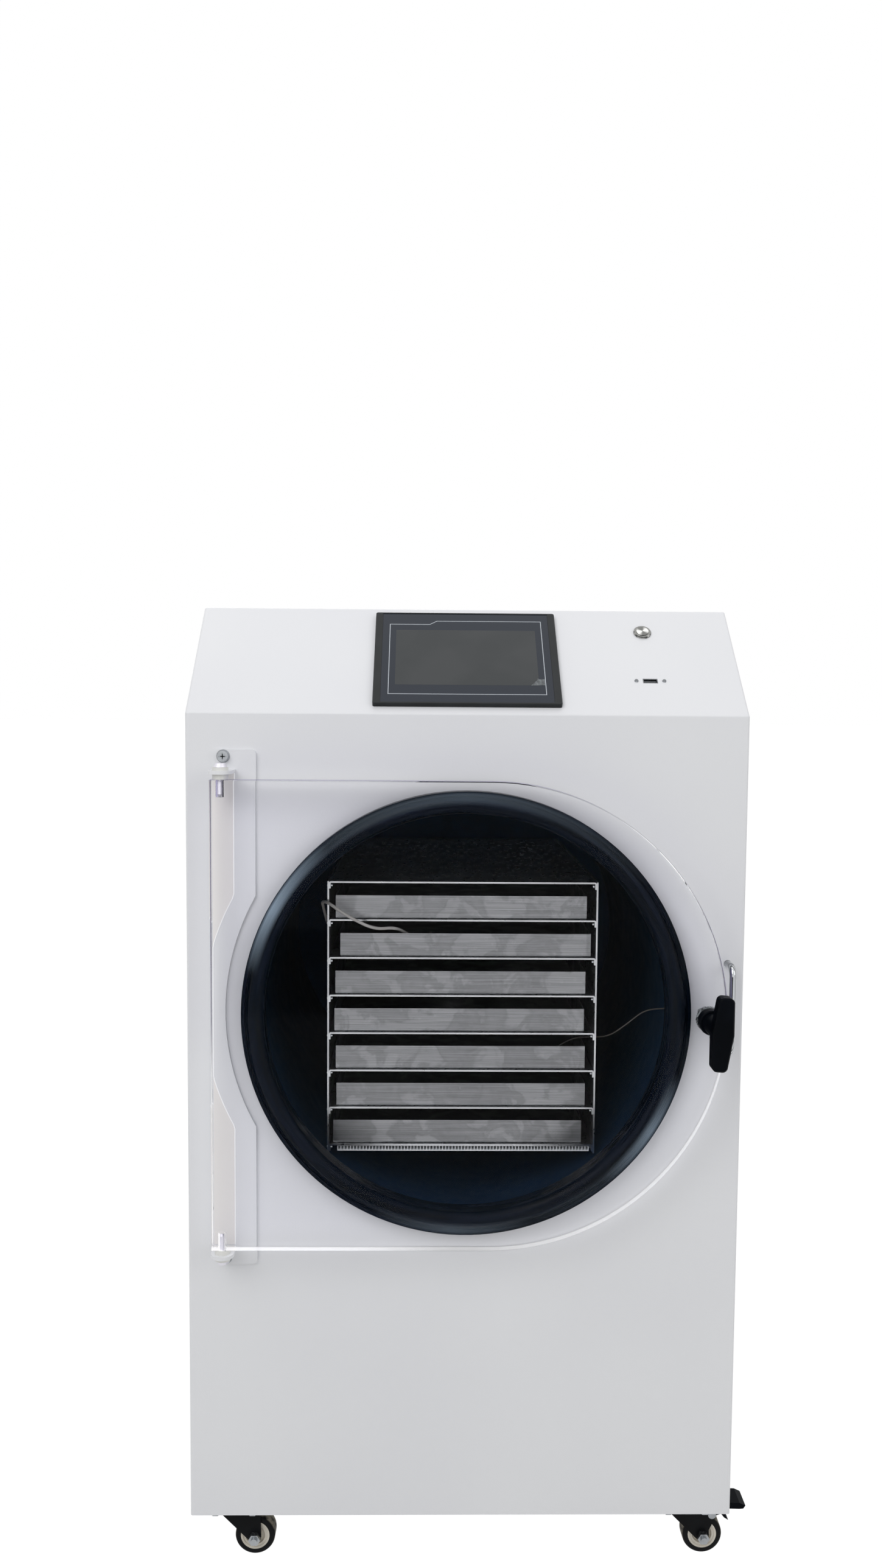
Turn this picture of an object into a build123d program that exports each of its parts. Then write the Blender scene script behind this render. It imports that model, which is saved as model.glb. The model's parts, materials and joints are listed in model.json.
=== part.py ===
"""Floor-standing freeze dryer.

A sheet-metal cabinet on four casters carries a round vacuum chamber that lies on its side.  A thick
clear door swings on two pivot screws in front of the chamber's rubber ring, and a T-handle turns a
cam behind a keeper bar.  A rack of eight shelves with seven trays stands in the chamber, and a touch
screen, a push button and a USB socket sit on the sloped panel above it.

Millimetres.  +X is the operator's right, +Y runs to the back and +Z is up.  The origin is on the
floor, under the middle of the whole machine.
"""
from build123d import *
from math import atan2, cos, hypot, pi, radians, sin, sqrt, tan
import os

os.makedirs("parts", exist_ok=True)

# ---- Cabinet shell ----
cabinet_width = 670
cabinet_depth = 720
front_height = 992          # lower edge of the front panel to the fold
slope_depth = 132           # the sloped control panel, seen from the side
slope_rise = 133
sheet = 1.5                 # painted steel sheet
bend_radius = 3             # outside radius of every fold
panel_return = 25           # how far the folded edges run round a corner
top_return = 30             # flat strip behind the slope
seam = 0.6                  # gap between neighbouring panels
ground_clearance = 70       # floor to the cabinet's lower edge

# ---- Frame behind the panels ----
frame_leg = 40
frame_thickness = 3
frame_fit = 0.5             # frame to the panels' inner faces
front_leg = 30              # width of the frame's front and rear legs
pan_thickness = 2
rail_height = 30
rail_width = 20
rail_level = 445            # middle of the side rails above the floor
saddle_thickness = 4
saddle_low = 388
saddle_high = 480
saddle_depths = (140, 470)  # behind the front face

# ---- Vacuum chamber ----
chamber_drop = 356          # the fold down to the chamber's axis
chamber_radius = 260        # inside
chamber_wall = 3
chamber_proud = 12          # rim in front of the front panel
chamber_depth = 560         # front face to the inside of the rear plate
chamber_rear_plate = 12
rim_clearance = 0.5
coil_tube_radius = 4.7
coil_turns = 7
coil_start = 70
coil_end = 500
coil_clearance = 0.3
foam_thickness = 25
foam_start = 6
foam_collar = 20            # length of the collar that closes the coil space in front

# ---- Door ring ----
ring_radius = 266.5         # outside
ring_bore = 240
ring_proud = 22
ring_lip = 4                # flat outer lip
ring_lip_step = 3.5         # the lip lies this far behind the crown
ring_groove = 1.5
ring_inner_depth = 8        # inner lip behind the front face
ring_clearance = 0.3
ring_bulb_rise = 7.5        # rise of the bulb's round over its shoulders

# ---- Door ----
door_thickness = 20
door_radius = 279           # right-hand arc, and half the door's height
door_arc_offset = 28        # arc centre to the right of the chamber's axis
door_left = 299.7           # chamber's axis to the door's straight left edge
door_edge = 1               # polished edge chamfer
seal_gap = 0.3              # between the shut door and the ring

# ---- Door hinge ----
pivot_inset = 11.7          # pivot axis from the door's left edge
strap_width = 51
strap_overhang = 2          # strap's left edge beyond the door's
strap_end = 34              # strap beyond the door's top and bottom
strap_thickness = 4
strap_corner = 6
strap_relief = 20.5         # clearance between the strap and the door ring
lug_width = 27
lug_thickness = 4
lug_gap = 6.5               # lug to door
washer_gap = 0.3            # washer to door
pin_radius = 4.65
pin_depth = 16.6            # thread in the door's edge
pin_tip = 3.4
pin_clearance = 0.08
pin_tip_angle = 40
bush_wall = 2.3
bush_flange_radius = 9.3
bush_flange = 4
bush_clearance = 0.1
pivot_head_radius = 7.9
pivot_head_height = 4.5
pivot_socket = 3
pivot_head_angle = 22
strap_screw_inset = 12.4    # from the strap's left edge
strap_screw_end = 8.2       # from the strap's end
strap_screw_head = 8
strap_screw_height = 5

# ---- Latch ----
latch_radius = 283.5        # chamber's axis to the spindle, to the right
latch_rise = 2              # spindle above the chamber's axis
latch_tilt = 5              # the T-handle's lean at rest, in degrees, top to the right
spindle_radius = 6
spindle_clearance = 0.08
barrel_radius = 9
barrel_clearance = 0.2
latch_nut_flats = 28
latch_nut_height = 5
latch_washer_radius = 15.4
latch_washer_height = 1.6
latch_washer_teeth = 36
latch_tooth_radius = 0.6
collar_radius = 14.8
collar_height = 12
collar_edge = 1
neck_radius = 11.7
neck_height = 36
collar_gap = 0.4
handle_length = 84.5
handle_width = 24.5
handle_end_width = 17
handle_thickness = 15
handle_corner = 6
handle_edge = 1.6
cam_gap = 0.6               # cam to the door's rear face
cam_thickness = 4
cam_reach = 36
cam_width = 12
cam_turn = 156              # the cam's direction at rest, clockwise from straight up
cam_nut_flats = 16
cam_nut_height = 6
cam_hub_radius = 9
spindle_tail = 2            # spindle beyond the cam's nut
spindle_grip = 30           # spindle inside the handle's neck
keeper_offset = 315         # chamber's axis to the keeper bar, to the right
keeper_radius = 4
keeper_reach = 26           # front face to the bar's middle
keeper_height = 102.6       # between the middles of the legs
keeper_rise = 7.5           # bar's middle above the chamber's axis
keeper_bend = 10
keeper_tail = 14            # legs behind the front face
keeper_clearance = 0.2
keeper_nut_flats = 13
keeper_nut_height = 6.5

# ---- Controls on the slope; heights are measured up the slope from the fold ----
screen_width = 226.5
screen_height = 163
screen_offset = -1          # middle, to the right of the cabinet's middle
screen_low = 12             # lower edge
screen_proud = 6
screen_corner = 2.5
screen_edge = 0.8
screen_side_bar = 9
screen_end_bar = 2.5
glass_thickness = 2
glass_sink = 0.6
glass_gap = 0.15
screen_body_inset = 8
screen_body_depth = 34
cutout_clearance = 0.4
button_offset = 223
button_up = 146
button_bezel_radius = 11
button_bezel_height = 2.6
button_edge = 0.8
button_body_radius = 9.5
button_body_length = 28
button_cap_radius = 7.8
button_cap_proud = 0.9
button_cap_length = 9
button_cap_clearance = 0.1
button_travel = 1.5
usb_up = 59
usb_width = 18.2
usb_height = 7.9
usb_depth = 16
usb_fit = 0.3               # socket to the panel's opening
usb_shell = 0.8
usb_flange_width = 44
usb_flange_height = 15
usb_flange = 1.5
usb_screw_offset = 17
usb_screw_radius = 2.6
usb_tongue = 2

# ---- Rack and trays ----
rack_width = 336
rack_sheet = 2
rack_offset = -2.7          # rack's middle, to the right of the chamber's axis
rack_start = 58             # front face to the rack's front edge
rack_length = 460
shelf_count = 8
shelf_pitch = 47.5
shelf_return = 9
shelf_bend = 2.4
shelf_raise = 11.5          # rack's foot to the top of the lowest shelf
rack_screw_drop = 6.2       # below the shelf's top
rack_screw_inset = 8        # from the rack's ends
rack_screw_head = 2.6
rack_screw_height = 2
rack_screw_angle = 25       # degrees that the head's rim leans in
rack_screw_radius = 1.5
rack_screw_fit = 0.1
rack_screw_tail = 1
tray_width = 312.5
tray_height = 29.5
tray_length = 450
tray_sheet = 1.2
tray_bend = 2.4
tray_start = 62             # front face to the trays' front walls
tray_shifts = (-1.8, 4, -2.1, -3.2, -1.5, -0.6, -4.6)
board_width = 317
board_offset = 0.3          # middle, to the right of the cabinet's middle
board_length = 446
board_thickness = 7.2
board_skin = 1.1
board_pitch = 4
board_rib = 0.9
board_gap = 0.2
board_start = 60

# ---- Temperature probe leads; routes are (right of the middle, behind the front face, height) ----
left_lead_radius = 1.9
right_lead_radius = 0.9
lead_fit = 0.1
lead_share = 0.45           # part of a run that one bend may use
lead_hole = 2.2             # radius of the hole in the rack's right side
lead_boss_radius = 6
lead_boss_length = 20       # end plate and boss together
lead_side = -174.5          # run along the rack's left side
lead_height = 770           # where it leaves the end plate
left_lead = (
    (lead_side, 571, lead_height),
    (lead_side, 470, lead_height),
    (lead_side, 130, 780),
    (-178, 52, 835),
    (-146, 42, 814),
    (-112, 47, 796.5),
    (-86, 66, 795.5),
    (-62, 100, 775),
    (-48, 148, 762.6),
    (-42, 198, 762.6),
)
right_lead = (
    (261, 90, 688),
    (232, 90, 686),
    (208, 88, 667),
    (186, 88, 651.5),
    (142, 88, 650.5),
    (120, 92, 637),
    (104, 100, 619.1),
    (84, 110, 619.1),
)

# ---- Casters ----
caster_spread = 283         # cabinet's middle to a caster's swivel axis
caster_setback = 36         # front or rear face to the swivel axis
caster_trail = 24           # swivel axis to the axle
wheel_radius = 25
wheel_width = 20
tyre_depth = 7
tyre_edge = 3
rim_recess_radius = 12.4
rim_recess = 4.5
rim_step_radius = 15.4
rim_step = 0.8
hub_radius = 7
hub_length = 21
axle_radius = 4
axle_clearance = 0.05
axle_nut_flats = 13
axle_nut_height = 6.5
axle_tail = 3
caster_plate = 62
caster_plate_thickness = 2.5
race_radius = 21
race_height = 6.5
kingpin_radius = 5
kingpin_head_radius = 8
kingpin_head = 3
fork_sheet = 2.5
fork_head_radius = 22
fork_gap = 0.5
fork_side_gap = 0.8         # hub to fork leg
fork_boss_radius = 8
fork_front = 31             # fork's top plate, ahead of the swivel axis
fork_back = 19
fork_knee = 3.5             # depth of the leg at its rear end
bolt_radius = 3.5
bolt_head_flats = 11
bolt_head = 4
bolt_tail = 6
bolt_spacing = 46
bolt_clearance = 0.3
brake_pin_reach = 35        # swivel axis to the brake pin
brake_pin_level = 54        # above the floor
brake_pin_radius = 3
brake_head_radius = 5
brake_head = 2
brake_lug_radius = 6
brake_hub_radius = 5.2
brake_lobe = 8.5            # brake pin to the tip of the braking nose
brake_lobe_angle = -40
pedal_reach = 77.5          # swivel axis to the pedal's tip
pedal_top = 69.4            # above the floor
pedal_shell = 8
pedal_root = 55             # swivel axis to the pedal's inner face
pedal_crest = 15            # root to where the pad turns down
pedal_fall = 4
pedal_knee = (              # from the root outward, height: the arm's outline up and back
    (-8, brake_pin_level + brake_hub_radius),
    (2, pedal_top - pedal_shell / 2),
    (2, pedal_top - pedal_shell - 3),
    (-1, brake_pin_level - 5),
    (2.5, brake_pin_level - 11.3),
    (-3, brake_pin_level - 8),
    (-7, brake_pin_level - 3),
)
pedal_width = 28
brake_arm_width = 18

# ---- Panel screws ----
screw_radius = 2
screw_head_radius = 4
screw_head = 2.4
screw_length = 9
screw_clearance = 0.25
thread_clearance = 0.05
rear_screw_rows = 3
screw_edge = 33             # cabinet's corner to a screw row
screw_end_margin = 60
side_screw_rows = 4
cross_width = 0.9
cross_share = 1.1           # recess arm over the head's radius
cross_depth = 1.4
pan_head_angle = 18         # degrees that the head's rim leans in

# ---- Louvres and grille ----
louvre_count = 9
louvre_pitch = 22
louvre_length = 130
louvre_height = 7
louvre_proud = 5
louvre_low = 150            # lowest louvre above the floor
louvre_depths = (200, 520)  # middles behind the front face
grille_rings = (28, 52, 76, 100)
grille_hole_radius = 6
grille_spacing = 17

# ---- Refrigeration and rear fittings ----
compressor_radius = 82
compressor_height = 190
compressor_offset = -165
compressor_depth = 260
compressor_foot = 4
compressor_base_width = 197
compressor_base_depth = 131
condenser_width = 300
condenser_height = 250
condenser_thickness = 44
condenser_gap = 46.5          # rear panel to the block
condenser_fins = 30
fin_groove = 2.4
fin_groove_depth = 5
shroud_thickness = 3
shroud_bore = 116
shroud_ring = 29
fan_radius = 112
fan_hub_radius = 30
fan_hub_length = 24
fan_blades = 5
fan_blade = 2.5
fan_blade_chord = 52
fan_pitch = 28
fan_shaft_radius = 4
fan_shaft_clearance = 0.06
motor_radius = 34
motor_length = 40
spider_arm = 9
spider_thickness = 4
fan_gap = 2
port_radius = 14
port_bore = 12
port_clearance = 0.2
port_collar_radius = 19
port_collar = 3
port_flange_radius = 20
port_flange = 3.2
port_reach = 30             # beyond the rear face
inlet_offset = 240
inlet_level = 200
inlet_width = 50
inlet_height = 28
inlet_flange = 3
inlet_body_width = 28
inlet_body_height = 20
inlet_body_depth = 24
inlet_socket_depth = 15
inlet_wall = 2
inlet_pin = 4
inlet_pin_gap = 7
drain_depth = 400           # front face to the drain's middle
drain_level = 300
drain_radius = 7
drain_bore = 5
drain_bend = 18
drain_inset = 1             # pipe's end below the chamber's floor
drain_gap = 2               # valve body to the cabinet's side
valve_body_radius = 11
valve_reach = 30            # beyond the cabinet's left side
valve_body_length = 20
valve_spout_radius = 6
stem_radius = 3
stem_height = 5
stem_depth = 5              # stem below the valve body's crown
stem_clearance = 0.08
lever_length = 62
lever_width = 11
lever_thickness = 3
lever_hub_radius = 7

# ---- Derived places ----
pedal_overhang = caster_spread + pedal_reach - cabinet_width / 2
cabinet_x = (valve_reach - pedal_overhang) / 2
door_back = ring_proud + seal_gap
door_front = door_back + door_thickness
pivot_forward = door_back + door_thickness / 2
nut_front = door_front + latch_washer_height + latch_nut_height
collar_front = nut_front + collar_height
neck_front = collar_front + collar_gap + neck_height
handle_front = neck_front + handle_thickness
front_y = -(cabinet_depth + port_reach - handle_front) / 2
rear_y = front_y + cabinet_depth
base_z = ground_clearance
fold_z = base_z + front_height
top_z = fold_z + slope_rise
rear_top = top_z - panel_return - seam
chamber_z = fold_z - chamber_drop
chamber_outer = chamber_radius + chamber_wall
bulb_outer = ring_radius - ring_lip - ring_groove
bush_radius = pin_radius + pin_clearance + bush_wall
pivot_across = pivot_inset - door_left
coil_radius = chamber_outer + coil_clearance + coil_tube_radius
foam_bore = coil_radius + coil_tube_radius + coil_clearance
foam_radius = foam_bore + foam_thickness
plate_back = chamber_depth + chamber_rear_plate
foam_back = plate_back + coil_clearance
inside_width = cabinet_width - 2 * sheet
frame_width = inside_width - 2 * frame_fit
frame_inset = sheet + frame_fit
fold_turn = atan2(slope_depth, slope_rise)
slope_turn = radians(90) - fold_turn
latch_z = chamber_z + latch_rise
rack_corner = rack_width / 2 + abs(rack_offset)
rack_foot = chamber_z - sqrt((chamber_radius - ring_clearance) ** 2 - rack_corner ** 2)
lowest_shelf = rack_foot + shelf_raise
axle_z = wheel_radius
grille_z = base_z + pan_thickness + condenser_height / 2


def facing(x, z, forward=0):
    """A plane that faces the operator, forward of the front face; its X is right and its Y is up."""
    return Plane(origin=(cabinet_x + x, front_y - forward, z), x_dir=(1, 0, 0), z_dir=(0, -1, 0))


def level(x, depth, z):
    """A level plane, at a depth behind the front face."""
    return Plane(origin=(cabinet_x + x, front_y + depth, z), x_dir=(1, 0, 0), z_dir=(0, 0, 1))


def profile(x):
    """An upright plane seen from the right; its X runs back from the front face and its Y is up."""
    return Plane(origin=(cabinet_x + x, front_y, 0), x_dir=(0, 1, 0), z_dir=(1, 0, 0))


def on_slope(x, up, proud=0):
    """A plane on the sloped panel; its X is right and its Y runs up the slope."""
    run = hypot(slope_depth, slope_rise)
    normal = Vector(0, -slope_rise, slope_depth) / run
    along = Vector(0, slope_depth, slope_rise) / run
    place = Vector(cabinet_x + x, front_y, fold_z) + along * up + normal * proud
    return Plane(origin=place, x_dir=(1, 0, 0), z_dir=normal)


def front_line(inset, end_depth):
    """The front, slope and top lines in side view, all moved inwards by the same inset."""
    return [
        (inset, base_z),
        (inset, fold_z - inset * tan(fold_turn / 2)),
        (slope_depth + inset * tan(slope_turn / 2), top_z - inset),
        (end_depth, top_z - inset),
    ]


def write(piece, label):
    """Name a finished piece and write it to its own file."""
    piece.part.label = label
    export_step(piece.part, f"parts/{label}.step")


def row(first, last, count):
    """Evenly spaced places from first to last."""
    return [first + (last - first) * i / (count - 1) for i in range(count)]


# ---- Screw places, shared by the panels, the frame and the screws ----
side_screws = [
    (depth, z)
    for depth in (screw_edge, cabinet_depth - screw_edge)
    for z in row(base_z + screw_end_margin, fold_z - screw_end_margin, side_screw_rows)
]
top_screws = [
    (depth, top_z - panel_return / 2)
    for depth in (slope_depth + top_return + screw_end_margin, cabinet_depth - screw_end_margin)
]
rear_screws = [
    (side * (frame_width - front_leg) / 2, z)
    for side in (-1, 1)
    for z in row(base_z + screw_end_margin, rear_top - screw_end_margin, rear_screw_rows)
]
strap_left = -door_left - strap_overhang
strap_screws = [
    (strap_left + strap_screw_inset, chamber_z + side * (door_radius + strap_end - strap_screw_end))
    for side in (-1, 1)
]
usb_screws = [(button_offset + side * usb_screw_offset, usb_up) for side in (-1, 1)]
keeper_legs = [
    (keeper_offset, chamber_z + keeper_rise + side * keeper_height / 2) for side in (-1, 1)
]
caster_places = {
    "front_left": (-caster_spread, caster_setback),
    "front_right": (caster_spread, caster_setback),
    "rear_left": (-caster_spread, cabinet_depth - caster_setback),
    "rear_right": (caster_spread, cabinet_depth - caster_setback),
}


# ---- Front panel: front, slope and top strip folded from one sheet ----
def inset_of(point):
    """How far a point lies behind the front, slope and top lines."""
    depth = point.Y - front_y
    rise = point.Z - fold_z
    from_slope = (depth * slope_rise - rise * slope_depth) / hypot(slope_depth, slope_rise)
    return min(depth, from_slope, top_z - point.Z)


def band(near, far, overrun):
    """A flat ring segment in side view, between two insets of the front line."""
    end = slope_depth + top_return + overrun
    outer = front_line(near, end)
    inner = front_line(far, end)
    outer[0] = (outer[0][0], base_z - overrun)
    inner[0] = (inner[0][0], base_z - overrun)
    return outer + inner[::-1]


def folded_band(near, far, overrun, half_width, radius):
    """The band as a solid with round folds."""
    with BuildPart() as solid:
        with BuildSketch(profile(0)) as outline:
            with BuildLine():
                Polyline(*band(near, far, overrun), close=True)
            make_face()
            corners = [
                outline.vertices().sort_by_distance((*place, 0))[0]
                for place in front_line(near, cabinet_depth)[1:3]
            ]
            fillet(corners, radius)
        extrude(amount=half_width, both=True)
        outer_edges = [
            edge
            for edge in solid.edges()
            if inset_of(edge @ 0.5) < near + radius / 2
            and abs(abs((edge @ 0.5).X - cabinet_x) - half_width) < 0.01
        ]
        fillet(outer_edges, radius)
    return solid.part


front_skin = folded_band(0, panel_return, 0, cabinet_width / 2, bend_radius)
front_hollow = folded_band(
    sheet, panel_return + bend_radius, bend_radius, inside_width / 2, bend_radius - sheet
)
cut = sheet + 2

with BuildPart() as front_panel:
    add(front_skin)
    add(front_hollow, mode=Mode.SUBTRACT)
    with BuildSketch(facing(0, chamber_z, 1)):
        Circle(chamber_outer + rim_clearance)
    extrude(amount=-cut, mode=Mode.SUBTRACT)
    with BuildSketch(facing(0, 0, 1)):
        with Locations(*strap_screws):
            Circle(screw_radius + screw_clearance)
        with Locations(*keeper_legs):
            Circle(keeper_radius + keeper_clearance)
    extrude(amount=-cut, mode=Mode.SUBTRACT)
    with BuildSketch(on_slope(0, 0, 1)):
        with Locations((screen_offset, screen_low + screen_height / 2)):
            Rectangle(
                screen_width - 2 * screen_body_inset + 2 * cutout_clearance,
                screen_height - 2 * screen_body_inset + 2 * cutout_clearance,
            )
        with Locations((button_offset, button_up)):
            Circle(button_body_radius + cutout_clearance / 2)
        with Locations((button_offset, usb_up)):
            Rectangle(usb_width, usb_height)
        with Locations(*usb_screws):
            Circle(screw_radius / 2 + screw_clearance)
    extrude(amount=-cut, mode=Mode.SUBTRACT)
write(front_panel, "front_panel")


# ---- Side panels with louvres ----
def louvre_hood(side, z):
    """The outside of one louvre in front view."""
    face = side * cabinet_width / 2
    out = side * louvre_proud
    return [(face, z + louvre_height), (face + out, z + sheet), (face + out, z), (face, z)]


def louvre_void(side, z):
    """The air under one louvre, open downwards and through the sheet."""
    face = side * cabinet_width / 2
    inside = face - side * (sheet + 1)
    lip = face + side * (louvre_proud - sheet)
    return [
        (inside, z),
        (inside, z + louvre_height - 2 * sheet),
        (face, z + louvre_height - 2 * sheet),
        (lip, z + sheet / 2),
        (lip, z - 1),
        (face, z - 1),
        (face, z),
    ]


def side_panel(side):
    """One flat side with its louvres, screw holes and, on the left, the drain pipe's hole."""
    reach = panel_return + seam
    end = cabinet_depth - reach
    with BuildPart() as panel:
        with BuildSketch(profile(side * cabinet_width / 2)):
            with BuildLine():
                Polyline(*front_line(reach, end), (end, base_z), close=True)
            make_face()
            with Locations(*side_screws):
                Circle(screw_radius + screw_clearance, mode=Mode.SUBTRACT)
            if side < 0:
                with Locations((drain_depth, drain_level)):
                    Circle(drain_radius + 1, mode=Mode.SUBTRACT)
        extrude(amount=-side * sheet)
        for depth in louvre_depths:
            for i in range(louvre_count):
                z = louvre_low + i * louvre_pitch
                with BuildSketch(facing(0, 0, -depth)):
                    with BuildLine():
                        Polyline(*louvre_hood(side, z), close=True)
                    make_face()
                extrude(amount=louvre_length / 2, both=True)
                with BuildSketch(facing(0, 0, -depth)):
                    with BuildLine():
                        Polyline(*louvre_void(side, z), close=True)
                    make_face()
                extrude(amount=louvre_length / 2 - sheet, both=True, mode=Mode.SUBTRACT)
    return panel


write(side_panel(-1), "left_side_panel")
write(side_panel(1), "right_side_panel")

# ---- Top panel: a lid with its sides and back folded down ----
lid_start = slope_depth + top_return + seam
with BuildPart() as top_panel:
    with BuildSketch(level(0, (lid_start + cabinet_depth) / 2, top_z)):
        Rectangle(cabinet_width, cabinet_depth - lid_start)
    extrude(amount=-panel_return)
    rims = [
        edge
        for edge in top_panel.edges().filter_by(Axis.Y)
        if (edge @ 0.5).Z > top_z - 0.1
    ]
    rims += [
        edge
        for edge in top_panel.edges().filter_by(Axis.Z)
        if (edge @ 0.5).Y > rear_y - 0.1
    ]
    rims.append(top_panel.edges().filter_by(Axis.X).sort_by(Axis.Z)[-2:].sort_by(Axis.Y)[-1])
    fillet(rims, bend_radius)
    with BuildSketch(level(0, (lid_start + cabinet_depth) / 2 - sheet, top_z - sheet)):
        Rectangle(inside_width, cabinet_depth - lid_start)
    extrude(amount=-panel_return, mode=Mode.SUBTRACT)
    with BuildSketch(profile(0)):
        with Locations(*top_screws):
            Circle(screw_radius + screw_clearance)
    extrude(amount=cabinet_width, both=True, mode=Mode.SUBTRACT)
write(top_panel, "top_panel")

# ---- Rear panel: folded forward at both sides, with the fan grille ----
with BuildPart() as rear_panel:
    with BuildSketch(facing(0, (base_z + rear_top) / 2, -cabinet_depth)):
        Rectangle(cabinet_width, rear_top - base_z)
    extrude(amount=panel_return)
    corners = [
        edge
        for edge in rear_panel.edges().filter_by(Axis.Z)
        if (edge @ 0.5).Y > rear_y - 0.1
    ]
    fillet(corners, bend_radius)
    with BuildSketch(facing(0, (base_z + rear_top) / 2, -(cabinet_depth - sheet))):
        Rectangle(inside_width, rear_top - base_z + 2)
    extrude(amount=panel_return, mode=Mode.SUBTRACT)
    with BuildSketch(facing(0, grille_z, -cabinet_depth - 1)):
        Circle(grille_hole_radius)
        for radius in grille_rings:
            with PolarLocations(radius, int(2 * pi * radius / grille_spacing)):
                Circle(grille_hole_radius)
    extrude(amount=cut, mode=Mode.SUBTRACT)
    with BuildSketch(facing(0, 0, -cabinet_depth - 1)):
        with Locations((0, chamber_z)):
            Circle(port_radius + 2)
        with Locations((inlet_offset, inlet_level)):
            Rectangle(
                inlet_body_width + 2 * cutout_clearance, inlet_body_height + 2 * cutout_clearance
            )
        with Locations(*rear_screws):
            Circle(screw_radius + screw_clearance)
    extrude(amount=cut, mode=Mode.SUBTRACT)
write(rear_panel, "rear_panel")

# ---- Frame: side rings, legs, base pan, side rails and the two chamber saddles ----
saddle_width = frame_width - 2 * (frame_thickness + rail_width)
with BuildPart() as base_frame:
    for side in (-1, 1):
        with BuildSketch(profile(side * frame_width / 2)):
            with BuildLine():
                Polyline(
                    *front_line(frame_inset, cabinet_depth - frame_inset),
                    (cabinet_depth - frame_inset, base_z),
                    close=True,
                )
            make_face()
            offset(amount=-frame_leg, kind=Kind.INTERSECTION, mode=Mode.SUBTRACT)
            with Locations(*side_screws, *top_screws):
                Circle(screw_radius + thread_clearance, mode=Mode.SUBTRACT)
        extrude(amount=-side * frame_thickness)
        leg_x = side * (frame_width - front_leg) / 2
        front_leg_top = fold_z - frame_leg
        with BuildSketch(facing(leg_x, (base_z + front_leg_top) / 2, -frame_inset)):
            Rectangle(front_leg, front_leg_top - base_z)
        extrude(amount=-frame_thickness)
        with BuildSketch(facing(leg_x, (base_z + rear_top) / 2, frame_inset - cabinet_depth)):
            Rectangle(front_leg, rear_top - base_z)
        extrude(amount=frame_thickness)
        with BuildSketch(profile(side * (frame_width / 2 - frame_thickness))):
            with Locations((cabinet_depth / 2, rail_level)):
                Rectangle(cabinet_depth - 2 * (frame_inset + frame_thickness), rail_height)
        extrude(amount=-side * rail_width)
    with BuildSketch(level(0, cabinet_depth / 2, base_z)):
        Rectangle(frame_width, cabinet_depth - 2 * frame_inset)
    extrude(amount=pan_thickness)
    for depth in saddle_depths:
        with BuildSketch(facing(0, chamber_z, -depth)):
            with Locations((0, (saddle_low + saddle_high) / 2 - chamber_z)):
                Rectangle(saddle_width, saddle_high - saddle_low)
            Circle(foam_radius + ring_clearance, mode=Mode.SUBTRACT)
        extrude(amount=-saddle_thickness)
    with BuildSketch(facing(0, 0)):
        with Locations(*keeper_legs):
            Circle(keeper_radius + keeper_clearance)
    extrude(amount=-(frame_inset + frame_thickness + 1), mode=Mode.SUBTRACT)
    with BuildSketch(facing(0, 0, -cabinet_depth)):
        with Locations(*rear_screws):
            Circle(screw_radius + thread_clearance)
    extrude(amount=frame_inset + frame_thickness + 1, mode=Mode.SUBTRACT)
    for x, depth in caster_places.values():
        with BuildSketch(level(x, depth, base_z)):
            with GridLocations(bolt_spacing, bolt_spacing, 2, 2):
                Circle(bolt_radius + bolt_clearance)
        extrude(amount=pan_thickness, mode=Mode.SUBTRACT)
write(base_frame, "base_frame")


# ---- Cross-recess pan-head screws ----
def pan_screws(plane, places, head_radius, head_height, shank, length):
    """Pan-head screws whose heads stand on the plane, added to the piece being built."""
    with BuildSketch(plane) as shanks:
        with Locations(*places):
            Circle(shank)
    extrude(shanks.sketch, amount=-length)
    with BuildSketch(plane) as heads:
        with Locations(*places):
            Circle(head_radius)
    extrude(heads.sketch, amount=head_height, taper=pan_head_angle)
    with BuildSketch(plane.offset(head_height - cross_depth)) as crosses:
        with Locations(*places):
            Rectangle(head_radius * cross_share, cross_width)
            Rectangle(cross_width, head_radius * cross_share)
    extrude(crosses.sketch, amount=head_height, mode=Mode.SUBTRACT)


def outside(side):
    """The outer face of one side panel, seen from outside; its X runs back or forward."""
    return Plane(
        origin=(cabinet_x + side * cabinet_width / 2, front_y, 0), x_dir=(0, 1, 0), z_dir=(side, 0, 0)
    )


rear_face = Plane(origin=(cabinet_x, rear_y, 0), x_dir=(1, 0, 0), z_dir=(0, 1, 0))
with BuildPart() as panel_screws:
    for side in (-1, 1):
        places = [(depth, side * z) for depth, z in side_screws + top_screws]
        pan_screws(outside(side), places, screw_head_radius, screw_head, screw_radius, screw_length)
    places = [(x, -z) for x, z in rear_screws]
    pan_screws(rear_face, places, screw_head_radius, screw_head, screw_radius, screw_length)
    pan_screws(
        facing(0, 0, strap_thickness),
        strap_screws,
        strap_screw_head,
        strap_screw_height,
        screw_radius,
        screw_length,
    )
    pan_screws(
        on_slope(0, 0), usb_screws, usb_screw_radius, screw_head / 2, screw_radius / 2, screw_length
    )
write(panel_screws, "panel_screws")


# ---- Vacuum chamber: a rolled wall with a flat end plate welded on ----
chamber_axis = Axis((cabinet_x, front_y, chamber_z), (0, 1, 0))


def turned(points, angle=360):
    """Turn a side-view outline of (depth, radius) points round the chamber's axis."""
    with BuildSketch(profile(0)) as outline:
        with BuildLine():
            Polyline(*[(depth, chamber_z + radius) for depth, radius in points], close=True)
        make_face()
    revolve(outline.sketch, axis=chamber_axis, revolution_arc=angle)


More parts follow.
